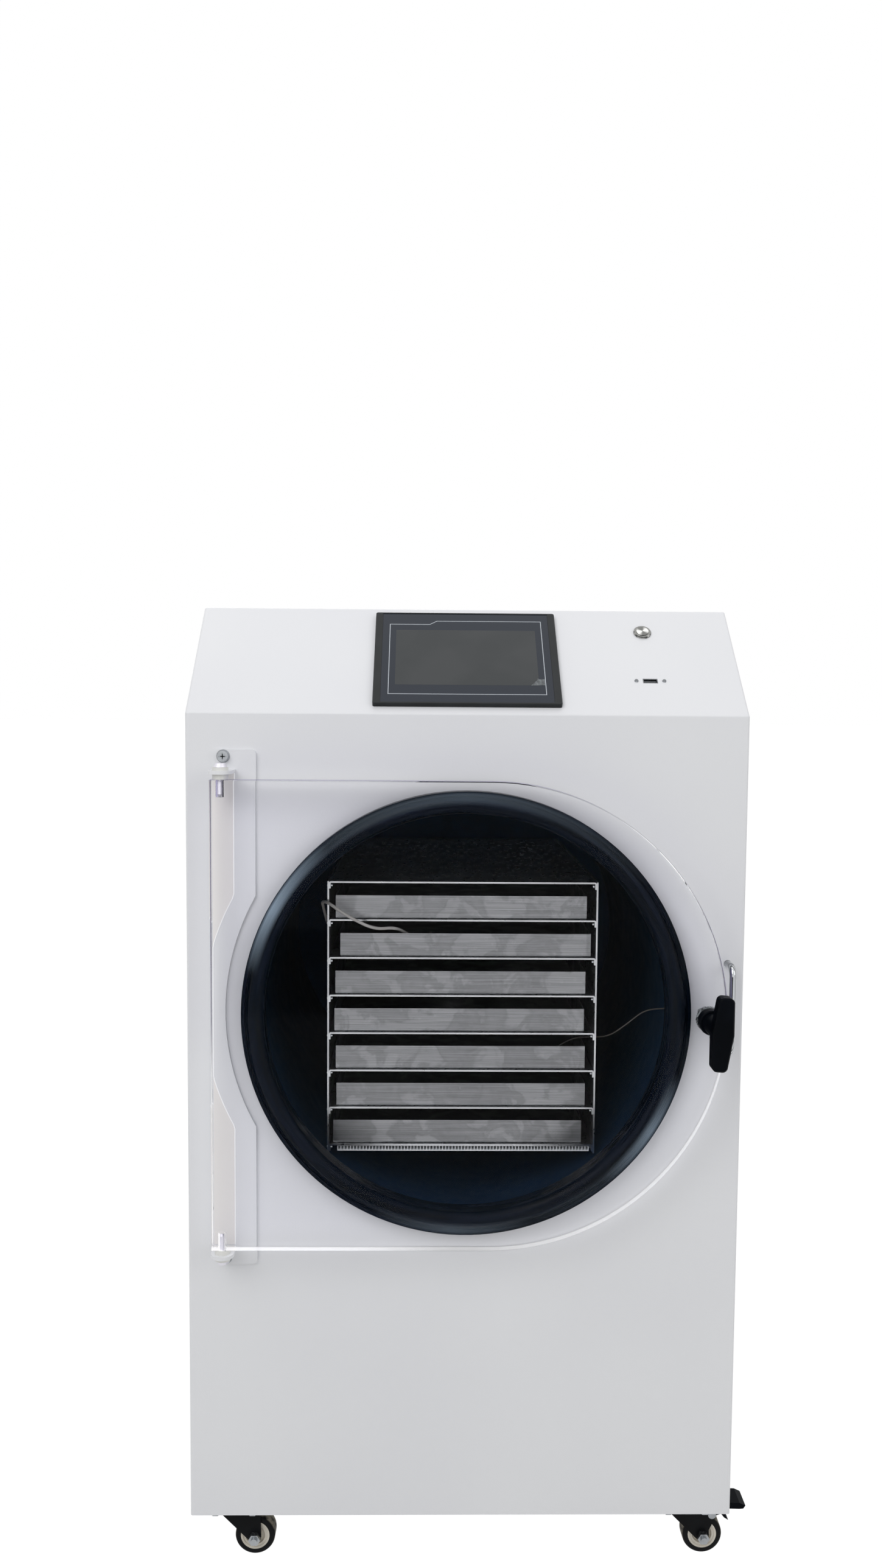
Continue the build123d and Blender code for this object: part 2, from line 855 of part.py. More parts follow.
with BuildPart() as vacuum_chamber:
    turned(
        [
            (-chamber_proud, chamber_radius),
            (chamber_depth, chamber_radius),
            (chamber_depth, 0),
            (plate_back, 0),
            (plate_back, chamber_outer),
            (-chamber_proud, chamber_outer),
        ]
    )
    with BuildSketch(facing(lead_side, lead_height, -chamber_depth)):
        Circle(lead_boss_radius)
    extrude(amount=lead_boss_length - chamber_rear_plate)
    with BuildSketch(facing(lead_side, lead_height, -chamber_depth + lead_boss_length)):
        Circle(left_lead_radius + lead_fit)
    extrude(amount=-2 * lead_boss_length, mode=Mode.SUBTRACT)
    with BuildSketch(profile(right_lead[0][0])):
        with Locations(right_lead[0][1:]):
            Circle(right_lead_radius + lead_fit)
    extrude(amount=chamber_wall, both=True, mode=Mode.SUBTRACT)
    with BuildSketch(facing(0, chamber_z, -chamber_depth)):
        Circle(port_radius + port_clearance)
    extrude(amount=-chamber_rear_plate, mode=Mode.SUBTRACT)
    with BuildSketch(level(0, drain_depth, chamber_z)):
        Circle(drain_radius + port_clearance)
    extrude(amount=-chamber_outer, mode=Mode.SUBTRACT)
write(vacuum_chamber, "vacuum_chamber")

# ---- Evaporator coil: turns round the chamber, joined by one header ----
with BuildPart() as evaporator_coil:
    for depth in row(coil_start, coil_end, coil_turns):
        with BuildSketch(profile(0)):
            with Locations((depth, chamber_z + coil_radius)):
                Circle(coil_tube_radius)
        revolve(axis=chamber_axis, revolution_arc=360)
    with BuildSketch(facing(0, chamber_z + coil_radius, -coil_start)):
        Circle(coil_tube_radius)
    extrude(amount=coil_start - coil_end)
write(evaporator_coil, "evaporator_coil")

# ---- Foam insulation: a closed jacket over the coil and the end plate ----
with BuildPart() as chamber_insulation:
    turned(
        [
            (foam_start, chamber_outer + coil_clearance),
            (foam_start, foam_radius),
            (foam_back + foam_thickness, foam_radius),
            (foam_back + foam_thickness, 0),
            (foam_back, 0),
            (foam_back, foam_bore),
            (foam_start + foam_collar, foam_bore),
            (foam_start + foam_collar, chamber_outer + coil_clearance),
        ]
    )
    with BuildSketch(facing(0, chamber_z, -foam_back)):
        Circle(port_radius + port_clearance)
    extrude(amount=-foam_thickness, mode=Mode.SUBTRACT)
    with BuildSketch(level(0, drain_depth, chamber_z - foam_bore / 2)):
        Circle(drain_radius + port_clearance)
    extrude(amount=-foam_radius, mode=Mode.SUBTRACT)
write(chamber_insulation, "chamber_insulation")

# ---- Door ring: moulded rubber pushed over the chamber's rim ----
ring_shoulder = ring_proud - ring_bulb_rise
ring_seat = chamber_proud + ring_clearance
lip_front = ring_proud - ring_lip_step
with BuildPart() as door_gasket:
    with BuildSketch(profile(0)):
        with BuildLine():
            Polyline(
                (-ring_shoulder, chamber_z + bulb_outer),
                (-ring_shoulder, chamber_z + bulb_outer + ring_groove),
                (-lip_front, chamber_z + bulb_outer + ring_groove),
                (-lip_front, chamber_z + ring_radius),
                (0, chamber_z + ring_radius),
                (0, chamber_z + chamber_outer + ring_clearance),
                (-ring_seat, chamber_z + chamber_outer + ring_clearance),
                (-ring_seat, chamber_z + chamber_radius - ring_clearance),
                (ring_inner_depth, chamber_z + chamber_radius - ring_clearance),
                (ring_inner_depth, chamber_z + ring_bore),
                (-ring_shoulder, chamber_z + ring_bore),
            )
            ThreePointArc(
                (-ring_shoulder, chamber_z + ring_bore),
                (-ring_proud, chamber_z + (ring_bore + bulb_outer) / 2),
                (-ring_shoulder, chamber_z + bulb_outer),
            )
        make_face()
    revolve(axis=chamber_axis, revolution_arc=360)
write(door_gasket, "door_gasket")

# ---- Door: clear sheet, square on the hinge side and round on the latch side ----
pivot_depth = -pivot_forward
with BuildPart() as door_panel:
    with BuildSketch(facing(0, chamber_z, door_back)):
        with BuildLine():
            Polyline(
                (door_arc_offset, -door_radius),
                (-door_left, -door_radius),
                (-door_left, door_radius),
                (door_arc_offset, door_radius),
            )
            ThreePointArc(
                (door_arc_offset, door_radius),
                (door_arc_offset + door_radius, 0),
                (door_arc_offset, -door_radius),
            )
        make_face()
    extrude(amount=door_thickness)
    chamfer(door_panel.edges().filter_by(Axis.Y, reverse=True), door_edge)
    with BuildSketch(facing(latch_radius, latch_z, door_back)):
        Circle(barrel_radius + barrel_clearance)
    extrude(amount=door_thickness, mode=Mode.SUBTRACT)
    for side in (-1, 1):
        end = level(pivot_across, pivot_depth, chamber_z + side * door_radius)
        with BuildSketch(end):
            Circle(pin_radius + pin_clearance)
        extrude(amount=-side * (pin_depth + pin_tip), mode=Mode.SUBTRACT)
write(door_panel, "door_panel")

# ---- Hinge strap with its two welded lugs ----
lug_inner = door_radius + lug_gap
strap_half = door_radius + strap_end
with BuildPart() as hinge_strap:
    with BuildSketch(facing(0, chamber_z)):
        with Locations((strap_left + strap_width / 2, 0)):
            RectangleRounded(strap_width, 2 * strap_half, strap_corner)
        Circle(ring_radius + strap_relief, mode=Mode.SUBTRACT)
        with Locations(*[(x, z - chamber_z) for x, z in strap_screws]):
            Circle(screw_radius + screw_clearance, mode=Mode.SUBTRACT)
    extrude(amount=strap_thickness)
    for side in (-1, 1):
        with BuildSketch(level(pivot_across, pivot_depth, chamber_z + side * lug_inner)):
            Circle(lug_width / 2)
            with Locations((0, (pivot_forward - strap_thickness) / 2)):
                Rectangle(lug_width, pivot_forward - strap_thickness)
            Circle(bush_radius + bush_clearance, mode=Mode.SUBTRACT)
        extrude(amount=side * lug_thickness)
write(hinge_strap, "hinge_strap")

# ---- Pivot bushes, their washers, and the pivot screws ----
with BuildPart() as pivot_bushes:
    for side in (-1, 1):
        with BuildSketch(level(pivot_across, pivot_depth, chamber_z + side * lug_inner)):
            Circle(bush_radius)
        extrude(amount=side * lug_thickness)
        outer_face = chamber_z + side * (lug_inner + lug_thickness)
        with BuildSketch(level(pivot_across, pivot_depth, outer_face)):
            Circle(bush_flange_radius)
        extrude(amount=side * bush_flange)
        washer_face = chamber_z + side * (door_radius + washer_gap)
        with BuildSketch(level(pivot_across, pivot_depth, washer_face)):
            Circle(bush_flange_radius)
        extrude(amount=side * (lug_gap - washer_gap))
        with BuildSketch(level(pivot_across, pivot_depth, washer_face)):
            Circle(pin_radius + pin_clearance)
        extrude(amount=side * strap_end, mode=Mode.SUBTRACT)
write(pivot_bushes, "pivot_bushes")

head_face = lug_inner + lug_thickness + bush_flange + bush_clearance
with BuildPart() as pivot_screws:
    for side in (-1, 1):
        with BuildSketch(level(pivot_across, pivot_depth, chamber_z + side * head_face)):
            Circle(pin_radius)
        extrude(amount=side * (door_radius - pin_depth - head_face))
        tip_face = chamber_z + side * (door_radius - pin_depth)
        with BuildSketch(level(pivot_across, pivot_depth, tip_face)):
            Circle(pin_radius)
        extrude(amount=-side * (pin_tip - bush_clearance), taper=pin_tip_angle)
        with BuildSketch(level(pivot_across, pivot_depth, chamber_z + side * head_face)):
            Circle(pivot_head_radius)
        extrude(amount=side * pivot_head_height, taper=pivot_head_angle)
        head_top = chamber_z + side * (head_face + pivot_head_height)
        with BuildSketch(level(pivot_across, pivot_depth, head_top)):
            RegularPolygon(pivot_socket, 6)
        extrude(amount=-side * pivot_socket, mode=Mode.SUBTRACT)
write(pivot_screws, "pivot_screws")

# ---- Latch: nut and collar on the door, spindle with cam, T-handle ----
with BuildPart() as latch_nut:
    with BuildSketch(facing(latch_radius, latch_z, door_front)):
        Circle(latch_washer_radius)
        with PolarLocations(latch_washer_radius, latch_washer_teeth):
            Circle(latch_tooth_radius, mode=Mode.SUBTRACT)
    extrude(amount=latch_washer_height)
    with BuildSketch(facing(latch_radius, latch_z, door_front + latch_washer_height)):
        RegularPolygon(latch_nut_flats / 2, 6, major_radius=False)
    extrude(amount=latch_nut_height)
    with BuildSketch(facing(latch_radius, latch_z, door_front)):
        Circle(barrel_radius + barrel_clearance)
    extrude(amount=latch_washer_height + latch_nut_height, mode=Mode.SUBTRACT)
write(latch_nut, "latch_nut")

with BuildPart() as latch_collar:
    with BuildSketch(facing(latch_radius, latch_z, nut_front)):
        Circle(collar_radius)
    extrude(amount=collar_height)
    chamfer(latch_collar.edges().group_by(Axis.Y)[0], collar_edge)
    with BuildSketch(facing(latch_radius, latch_z, door_back)):
        Circle(barrel_radius)
    extrude(amount=nut_front - door_back)
    with BuildSketch(facing(latch_radius, latch_z, door_back)):
        Circle(spindle_radius + spindle_clearance)
    extrude(amount=collar_front - door_back, mode=Mode.SUBTRACT)
write(latch_collar, "latch_collar")


def latch_plane(forward, clockwise=latch_tilt):
    """A plane facing the operator on the spindle's axis; its Y is turned clockwise from up."""
    turn = radians(clockwise)
    return Plane(
        origin=facing(latch_radius, latch_z, forward).origin,
        x_dir=(cos(turn), 0, -sin(turn)),
        z_dir=(0, -1, 0),
    )


cam_front = door_back - cam_gap
cam_back = cam_front - cam_thickness
spindle_back = cam_back - cam_nut_height - spindle_tail
with BuildPart() as latch_spindle:
    with BuildSketch(facing(latch_radius, latch_z, spindle_back)):
        Circle(spindle_radius)
    extrude(amount=collar_front + spindle_grip - spindle_back)
    with BuildSketch(latch_plane(cam_back, cam_turn)):
        with Locations((0, (cam_reach - cam_width / 2) / 2)):
            SlotCenterToCenter(cam_reach - cam_width / 2, cam_width, rotation=90)
        Circle(cam_hub_radius)
    extrude(amount=cam_thickness)
    with BuildSketch(latch_plane(cam_back - cam_nut_height, cam_turn)):
        RegularPolygon(cam_nut_flats / 2, 6, major_radius=False)
    extrude(amount=cam_nut_height)
write(latch_spindle, "latch_spindle")

with BuildPart() as latch_handle:
    with BuildSketch(latch_plane(neck_front)):
        with BuildLine() as bar_line:
            half = handle_length / 2
            Polyline(
                (-handle_width / 2, 0),
                (-handle_end_width / 2, half),
                (handle_end_width / 2, half),
                (handle_width / 2, 0),
                (handle_end_width / 2, -half),
                (-handle_end_width / 2, -half),
                close=True,
            )
        make_face()
        ends = bar_line.vertices().group_by(Axis.Y)
        fillet(ends[0] + ends[-1], handle_corner)
    extrude(amount=handle_thickness)
    chamfer(latch_handle.edges().group_by(Axis.Y)[0], handle_edge)
    with BuildSketch(latch_plane(collar_front + collar_gap)):
        Circle(neck_radius)
    extrude(amount=neck_height)
    with BuildSketch(latch_plane(collar_front + collar_gap)):
        Circle(spindle_radius + spindle_clearance)
    extrude(amount=spindle_grip, mode=Mode.SUBTRACT)
write(latch_handle, "latch_handle")

# ---- Keeper bar: a bent rod held by a nut behind each leg ----
with BuildPart() as keeper_bar:
    (x, low), (x, high) = keeper_legs
    with BuildLine(profile(x)):
        FilletPolyline(
            (keeper_tail, low),
            (-keeper_reach, low),
            (-keeper_reach, high),
            (keeper_tail, high),
            radius=keeper_bend,
        )
    with BuildSketch(facing(x, low, -keeper_tail)):
        Circle(keeper_radius)
    sweep()
    nut_face = frame_inset + frame_thickness
    with BuildSketch(facing(0, 0, -nut_face)):
        with Locations(*keeper_legs):
            RegularPolygon(keeper_nut_flats / 2, 6, major_radius=False)
    extrude(amount=-keeper_nut_height)
write(keeper_bar, "keeper_bar")

# ---- Controls on the slope ----
slope_axis = Axis((cabinet_x, front_y, fold_z), on_slope(0, 0).z_dir)
screen_middle = screen_low + screen_height / 2
with BuildPart() as touchscreen_housing:
    with BuildSketch(on_slope(screen_offset, screen_middle)):
        RectangleRounded(screen_width, screen_height, screen_corner)
    extrude(amount=screen_proud)
    chamfer(touchscreen_housing.faces().sort_by(slope_axis)[-1].edges(), screen_edge)
    with BuildSketch(on_slope(screen_offset, screen_middle)):
        Rectangle(screen_width - 2 * screen_body_inset, screen_height - 2 * screen_body_inset)
    extrude(amount=-screen_body_depth)
    with BuildSketch(on_slope(screen_offset, screen_middle, screen_proud)):
        Rectangle(screen_width - 2 * screen_side_bar, screen_height - 2 * screen_end_bar)
    extrude(amount=-(glass_thickness + glass_sink), mode=Mode.SUBTRACT)
write(touchscreen_housing, "touchscreen_housing")

with BuildPart() as touchscreen_glass:
    with BuildSketch(on_slope(screen_offset, screen_middle, screen_proud - glass_sink)):
        Rectangle(
            screen_width - 2 * screen_side_bar - 2 * glass_gap,
            screen_height - 2 * screen_end_bar - 2 * glass_gap,
        )
    extrude(amount=-glass_thickness)
write(touchscreen_glass, "touchscreen_glass")

cap_front = button_bezel_height + button_cap_proud
cap_back = cap_front - button_cap_length
with BuildPart() as button_bezel:
    with BuildSketch(on_slope(button_offset, button_up)):
        Circle(button_bezel_radius)
    extrude(amount=button_bezel_height)
    chamfer(button_bezel.faces().sort_by(slope_axis)[-1].edges(), button_edge)
    with BuildSketch(on_slope(button_offset, button_up)):
        Circle(button_body_radius)
    extrude(amount=-button_body_length)
    with BuildSketch(on_slope(button_offset, button_up, button_bezel_height)):
        Circle(button_cap_radius + button_cap_clearance)
    extrude(amount=cap_back - 2 * button_travel - button_bezel_height, mode=Mode.SUBTRACT)
write(button_bezel, "button_bezel")

with BuildPart() as button_cap:
    with BuildSketch(on_slope(button_offset, button_up, cap_back)):
        Circle(button_cap_radius)
    extrude(amount=button_cap_length)
    fillet(button_cap.faces().sort_by(slope_axis)[-1].edges(), button_cap_proud / 2)
write(button_cap, "button_cap")

with BuildPart() as usb_port:
    with BuildSketch(on_slope(button_offset, usb_up)):
        Rectangle(usb_width - 2 * usb_fit, usb_height - 2 * usb_fit)
    extrude(amount=-usb_depth)
    with BuildSketch(on_slope(button_offset, usb_up, -sheet)):
        Rectangle(usb_flange_width, usb_flange_height)
        with Locations((-usb_screw_offset, 0), (usb_screw_offset, 0)):
            Circle(screw_radius / 2 + screw_clearance, mode=Mode.SUBTRACT)
    extrude(amount=-usb_flange)
    with BuildSketch(on_slope(button_offset, usb_up)):
        Rectangle(usb_width - 2 * (usb_fit + usb_shell), usb_height - 2 * (usb_fit + usb_shell))
    extrude(amount=usb_shell - usb_depth, mode=Mode.SUBTRACT)
    with BuildSketch(on_slope(button_offset, usb_up, -usb_depth)):
        with Locations((0, usb_tongue / 2)):
            Rectangle(usb_width - 2 * (usb_fit + 2 * usb_shell), usb_tongue)
    extrude(amount=usb_depth - usb_tongue)
write(usb_port, "usb_port")

# ---- Rack: two sides and eight folded shelves, screwed through the folds ----
shelf_tops = [lowest_shelf + i * shelf_pitch for i in reversed(range(shelf_count))]
rack_holes = [
    (depth, top - rack_screw_drop)
    for depth in (rack_start + rack_screw_inset, rack_start + rack_length - rack_screw_inset)
    for top in shelf_tops
]


def rack_side(side):
    """One upright side of the rack with its screw holes."""
    with BuildPart() as panel:
        with BuildSketch(profile(rack_offset + side * rack_width / 2)):
            with Locations((rack_start + rack_length / 2, (rack_foot + shelf_tops[0]) / 2)):
                Rectangle(rack_length, shelf_tops[0] - rack_foot)
            with Locations(*rack_holes):
                Circle(rack_screw_radius + rack_screw_fit, mode=Mode.SUBTRACT)
            if side > 0:
                with Locations((right_lead[3][1], (right_lead[3][2] + right_lead[4][2]) / 2)):
                    Circle(lead_hole, mode=Mode.SUBTRACT)
        extrude(amount=-side * rack_sheet)
    return panel


write(rack_side(-1), "rack_left_side")
write(rack_side(1), "rack_right_side")

shelf_width = rack_width - 2 * rack_sheet
with BuildPart() as rack_shelves:
    for top in shelf_tops:
        with BuildSketch(facing(rack_offset, top, -rack_start)) as channel:
            with Locations((0, -shelf_return / 2)):
                Rectangle(shelf_width, shelf_return)
            with Locations((0, -(shelf_return + rack_sheet) / 2)):
                Rectangle(
                    shelf_width - 2 * rack_sheet, shelf_return - rack_sheet, mode=Mode.SUBTRACT
                )
            fillet(channel.vertices().group_by(Axis.Y)[1], shelf_bend - rack_sheet)
            fillet(channel.vertices().group_by(Axis.Y)[-1], shelf_bend)
        extrude(amount=-rack_length)
    with BuildSketch(profile(0)):
        with Locations(*rack_holes):
            Circle(rack_screw_radius + rack_screw_fit)
    extrude(amount=rack_width, both=True, mode=Mode.SUBTRACT)
write(rack_shelves, "rack_shelves")

with BuildPart() as rack_screws:
    for side in (-1, 1):
        with BuildSketch(profile(rack_offset + side * (rack_width / 2 - 2 * rack_sheet))):
            with Locations(*rack_holes):
                Circle(rack_screw_radius)
        extrude(amount=side * (2 * rack_sheet + rack_screw_tail))
        with BuildSketch(profile(rack_offset + side * (rack_width / 2 - 2 * rack_sheet))):
            with Locations(*rack_holes):
                Circle(rack_screw_head)
        extrude(amount=-side * rack_screw_height, taper=rack_screw_angle)
write(rack_screws, "rack_screws")


def tray(shift, floor):
    """One folded tray standing on a shelf."""
    with BuildPart() as box:
        with BuildSketch(level(rack_offset + shift, tray_start + tray_length / 2, floor)):
            Rectangle(tray_width, tray_length)
        extrude(amount=tray_height)
        fillet(box.edges().group_by(Axis.Z)[0], tray_bend)
        offset(amount=-tray_sheet, openings=box.faces().sort_by(Axis.Z)[-1])
    return box


for i, shift in enumerate(tray_shifts):
    write(tray(shift, shelf_tops[i + 1]), f"tray_{i + 1}")

# ---- Twin-wall insulating board under the lowest shelf ----
cell_count = int((board_width - board_rib) / board_pitch)
board_middle = lowest_shelf - rack_sheet - board_gap - board_thickness / 2
with BuildPart() as insulating_board:
    with BuildSketch(facing(board_offset, board_middle, -board_start)):
        Rectangle(board_width, board_thickness)
        with GridLocations(board_pitch, 0, cell_count, 1):
            Rectangle(
                board_pitch - board_rib, board_thickness - 2 * board_skin, mode=Mode.SUBTRACT
            )
    extrude(amount=-board_length)
write(insulating_board, "insulating_board")

# ---- Temperature probe leads: each runs from the chamber's wall into a tray ----
def bend_radii(points):
    """The largest arcs that the runs on both sides of each corner leave room for."""
    radii = []
    for before, corner, after in zip(points, points[1:], points[2:]):
        arriving = corner - before
        leaving = after - corner
        shorter = min(arriving.length, leaving.length)
        half_turn = radians(arriving.get_angle(leaving)) / 2
        radii.append(lead_share * shorter / tan(half_turn))
    return radii


with BuildPart() as probe_leads:
    for route, radius in ((left_lead, left_lead_radius), (right_lead, right_lead_radius)):
        points = [Vector(cabinet_x + x, front_y + depth, z) for x, depth, z in route]
        radii = bend_radii(points)
        with BuildLine() as centre:
            FilletPolyline(*points, radius=radii)
        with BuildSketch(Plane(origin=centre.line @ 0, z_dir=centre.line % 0)) as section:
            Circle(radius)
        before = probe_leads.part.volume if probe_leads.part else 0
        sweep(section.sketch, path=centre.line)
        length = sum(edge.length for edge in centre.edges())
        print("lead arcs", [round(arc, 1) for arc in radii])
        print("lead length", round(length, 1))
        print("lead volume", round(probe_leads.part.volume - before, 1))
        print("section x length", round(pi * radius**2 * length, 1))
write(probe_leads, "probe_leads")

# ---- Casters: bolted plates with bearing races and kingpins ----
race_bottom = base_z - caster_plate_thickness - race_height
fork_top = race_bottom - fork_gap
fork_under = fork_top - fork_sheet
with BuildPart() as caster_plates:
    for x, depth in caster_places.values():
        with BuildSketch(level(x, depth, base_z)):
            Rectangle(caster_plate, caster_plate)
        extrude(amount=-caster_plate_thickness)
        with BuildSketch(level(x, depth, base_z)):
            Circle(race_radius)
        extrude(amount=race_bottom - base_z)
        with BuildSketch(level(x, depth, race_bottom)):
            Circle(kingpin_radius)
        extrude(amount=fork_under - fork_gap - race_bottom)
        with BuildSketch(level(x, depth, fork_under - fork_gap)):
            Circle(kingpin_head_radius)
        extrude(amount=-kingpin_head)
        with BuildSketch(level(x, depth, base_z - caster_plate_thickness)):
            with GridLocations(bolt_spacing, bolt_spacing, 2, 2):
                RegularPolygon(bolt_head_flats / 2, 6, major_radius=False)
        extrude(amount=-bolt_head)
        with BuildSketch(level(x, depth, base_z)):
            with GridLocations(bolt_spacing, bolt_spacing, 2, 2):
                Circle(bolt_radius)
        extrude(amount=pan_thickness + bolt_tail)
write(caster_plates, "caster_plates")

leg_inside = hub_length / 2 + fork_side_gap
leg_outside = leg_inside + fork_sheet


def fork(x, depth, braked):
    """A caster's fork with its axle bolt and, on the braked one, the brake pin."""
    with BuildPart() as body:
        with BuildSketch(level(x, depth, fork_top)):
            Circle(fork_head_radius)
            with Locations(((fork_front - fork_back) / 2, 0)):
                Rectangle(fork_front + fork_back, 2 * leg_outside)
            Circle(kingpin_radius + axle_clearance, mode=Mode.SUBTRACT)
        extrude(amount=-fork_sheet)
        for side in (-1, 1):
            with BuildSketch(facing(x, 0, side * leg_inside - depth)):
                with Locations((caster_trail, axle_z)):
                    Circle(fork_boss_radius)
                with Locations(((fork_front - fork_back) / 2, fork_top - fork_knee / 2)):
                    Rectangle(fork_front + fork_back, fork_knee)
                make_hull()
            extrude(amount=side * fork_sheet)
            if braked:
                with BuildSketch(facing(x, 0, side * leg_inside - depth)):
                    with Locations((brake_pin_reach, brake_pin_level)):
                        Circle(brake_lug_radius)
                    with Locations((caster_trail, (axle_z + fork_top) / 2)):
                        Rectangle(fork_boss_radius, fork_top - axle_z)
                    make_hull()
                extrude(amount=side * fork_sheet)
        with BuildSketch(facing(x, 0, -leg_outside - depth)):
            with Locations((caster_trail, axle_z)):
                Circle(axle_radius + axle_clearance)
            if braked:
                with Locations((brake_pin_reach, brake_pin_level)):
                    Circle(brake_pin_radius + axle_clearance)
        extrude(amount=2 * leg_outside, mode=Mode.SUBTRACT)
        nut_end = leg_outside + axle_nut_height
        with BuildSketch(facing(x, 0, nut_end + axle_tail - depth)):
            with Locations((caster_trail, axle_z)):
                Circle(axle_radius)
        extrude(amount=-(nut_end + axle_tail + leg_outside))
        for face in (leg_outside, -nut_end):
            with BuildSketch(facing(x, 0, face - depth)):
                with Locations((caster_trail, axle_z)):
                    RegularPolygon(axle_nut_flats / 2, 6, major_radius=False)
            extrude(amount=axle_nut_height)
        if braked:
            with BuildSketch(facing(x, 0, leg_outside - depth)):
                with Locations((brake_pin_reach, brake_pin_level)):
                    Circle(brake_pin_radius)
            extrude(amount=-2 * leg_outside)
            for face in (leg_outside, -leg_outside - brake_head):
                with BuildSketch(facing(x, 0, face - depth)):
                    with Locations((brake_pin_reach, brake_pin_level)):
                        Circle(brake_head_radius)
                extrude(amount=brake_head)
    return body


def rolled(x, depth, outline):
    """Turn an outline of (radius, width) points round the axle, in the piece being built."""
    with BuildSketch(level(x + caster_trail, depth, axle_z)) as section:
        with BuildLine():
            Polyline(*outline, close=True)
        make_face()
    axle = Axis((cabinet_x + x + caster_trail, front_y + depth, axle_z), (0, 1, 0))
    revolve(section.sketch, axis=axle, revolution_arc=360)
    return axle


def tyre(x, depth):
    """A solid tyre with rounded shoulders."""
    half = wheel_width / 2
    bore = wheel_radius - tyre_depth
    with BuildPart() as ring:
        rolled(x, depth, [(bore, -half), (wheel_radius, -half), (wheel_radius, half), (bore, half)])
        shoulders = [
            edge
            for edge in ring.edges().filter_by(GeomType.CIRCLE)
            if edge.radius > wheel_radius - 1
        ]
        fillet(shoulders, tyre_edge)
    return ring


def core(x, depth):
    """A wheel core: rim, stepped dish and hub."""
    rim = wheel_radius - tyre_depth
    half = wheel_width / 2
    side = [
        (axle_radius + axle_clearance, hub_length / 2),
        (hub_radius, hub_length / 2),
        (hub_radius, half - rim_recess),
        (rim_recess_radius, half - rim_recess),
        (rim_recess_radius, half - rim_step),
        (rim_step_radius, half - rim_step),
        (rim_step_radius, half),
        (rim, half),
    ]
    with BuildPart() as disc:
        rolled(x, depth, side + [(radius, -width) for radius, width in side[::-1]])
    return disc


for name, (x, depth) in caster_places.items():
    write(fork(x, depth, name == "front_right"), f"caster_{name}_fork")
    write(tyre(x, depth), f"caster_{name}_tyre")
    write(core(x, depth), f"caster_{name}_core")

# ---- Brake pedal on the front right fork ----
x, depth = caster_places["front_right"]
nose_angle = radians(brake_lobe_angle)
pedal_arm = [
    (brake_pin_reach, brake_pin_level + brake_hub_radius),
    *[(pedal_root + out, height) for out, height in pedal_knee],
    (brake_pin_reach + brake_lobe * cos(nose_angle), brake_pin_level + brake_lobe * sin(nose_angle)),
    (brake_pin_reach, brake_pin_level - brake_hub_radius),
]
pedal_pad = [
    (pedal_root, pedal_top),
    (pedal_root + pedal_crest, pedal_top - pedal_fall / 9),
    (pedal_reach, pedal_top - pedal_fall),
    (pedal_reach - pedal_shell / 3, pedal_top - pedal_fall - pedal_shell / 2),
    (pedal_root + pedal_crest, pedal_top - pedal_fall / 9 - pedal_shell),
    (pedal_root, pedal_top - pedal_shell),
]
with BuildPart() as brake_pedal:
    for outline, width in ((pedal_arm, brake_arm_width), (pedal_pad, pedal_width)):
        with BuildSketch(facing(x, 0, -depth)):
            with BuildLine():
                Polyline(*outline, close=True)
            make_face()
        extrude(amount=width / 2, both=True)
    with BuildSketch(facing(x, 0, -depth)):
        with Locations((brake_pin_reach, brake_pin_level)):
            Circle(brake_hub_radius)
    extrude(amount=brake_arm_width / 2, both=True)
    with BuildSketch(facing(x, 0, -depth)):
        with Locations((brake_pin_reach, brake_pin_level)):
            Circle(brake_pin_radius + axle_clearance)
    extrude(amount=brake_arm_width, both=True, mode=Mode.SUBTRACT)
write(brake_pedal, "brake_pedal")

# ---- Refrigeration: compressor, condenser, fan ----
pan_top = base_z + pan_thickness
foot_top = pan_top + compressor_foot
with BuildPart() as compressor:
    with BuildSketch(level(compressor_offset, compressor_depth, foot_top)):
        Circle(compressor_radius)
    extrude(amount=compressor_height)
    fillet(compressor.edges().group_by(Axis.Z)[-1], compressor_radius / 2)
    fillet(compressor.edges().group_by(Axis.Z)[0], compressor_foot)
    with BuildSketch(level(compressor_offset, compressor_depth, pan_top)):
        RectangleRounded(compressor_base_width, compressor_base_depth, 2 * compressor_foot)
    extrude(amount=compressor_foot)
    with BuildSketch(level(compressor_offset, compressor_depth, foot_top)):
        with Locations((compressor_radius, 0)):
            Rectangle(compressor_radius / 2, compressor_radius)
    extrude(amount=compressor_height / 2)
write(compressor, "compressor")

condenser_front = cabinet_depth - sheet - condenser_gap - condenser_thickness
with BuildPart() as condenser:
    with BuildSketch(facing(0, grille_z, -condenser_front)):
        Rectangle(condenser_width, condenser_height)
    extrude(amount=-condenser_thickness)
    for face, inwards in ((condenser_front, -1), (condenser_front + condenser_thickness, 1)):
        with BuildSketch(facing(0, grille_z, -face)):
            with GridLocations(condenser_width / (condenser_fins + 1), 0, condenser_fins, 1):
                Rectangle(fin_groove, condenser_height - 4 * fin_groove_depth)
        extrude(amount=inwards * fin_groove_depth, mode=Mode.SUBTRACT)
write(condenser, "condenser")

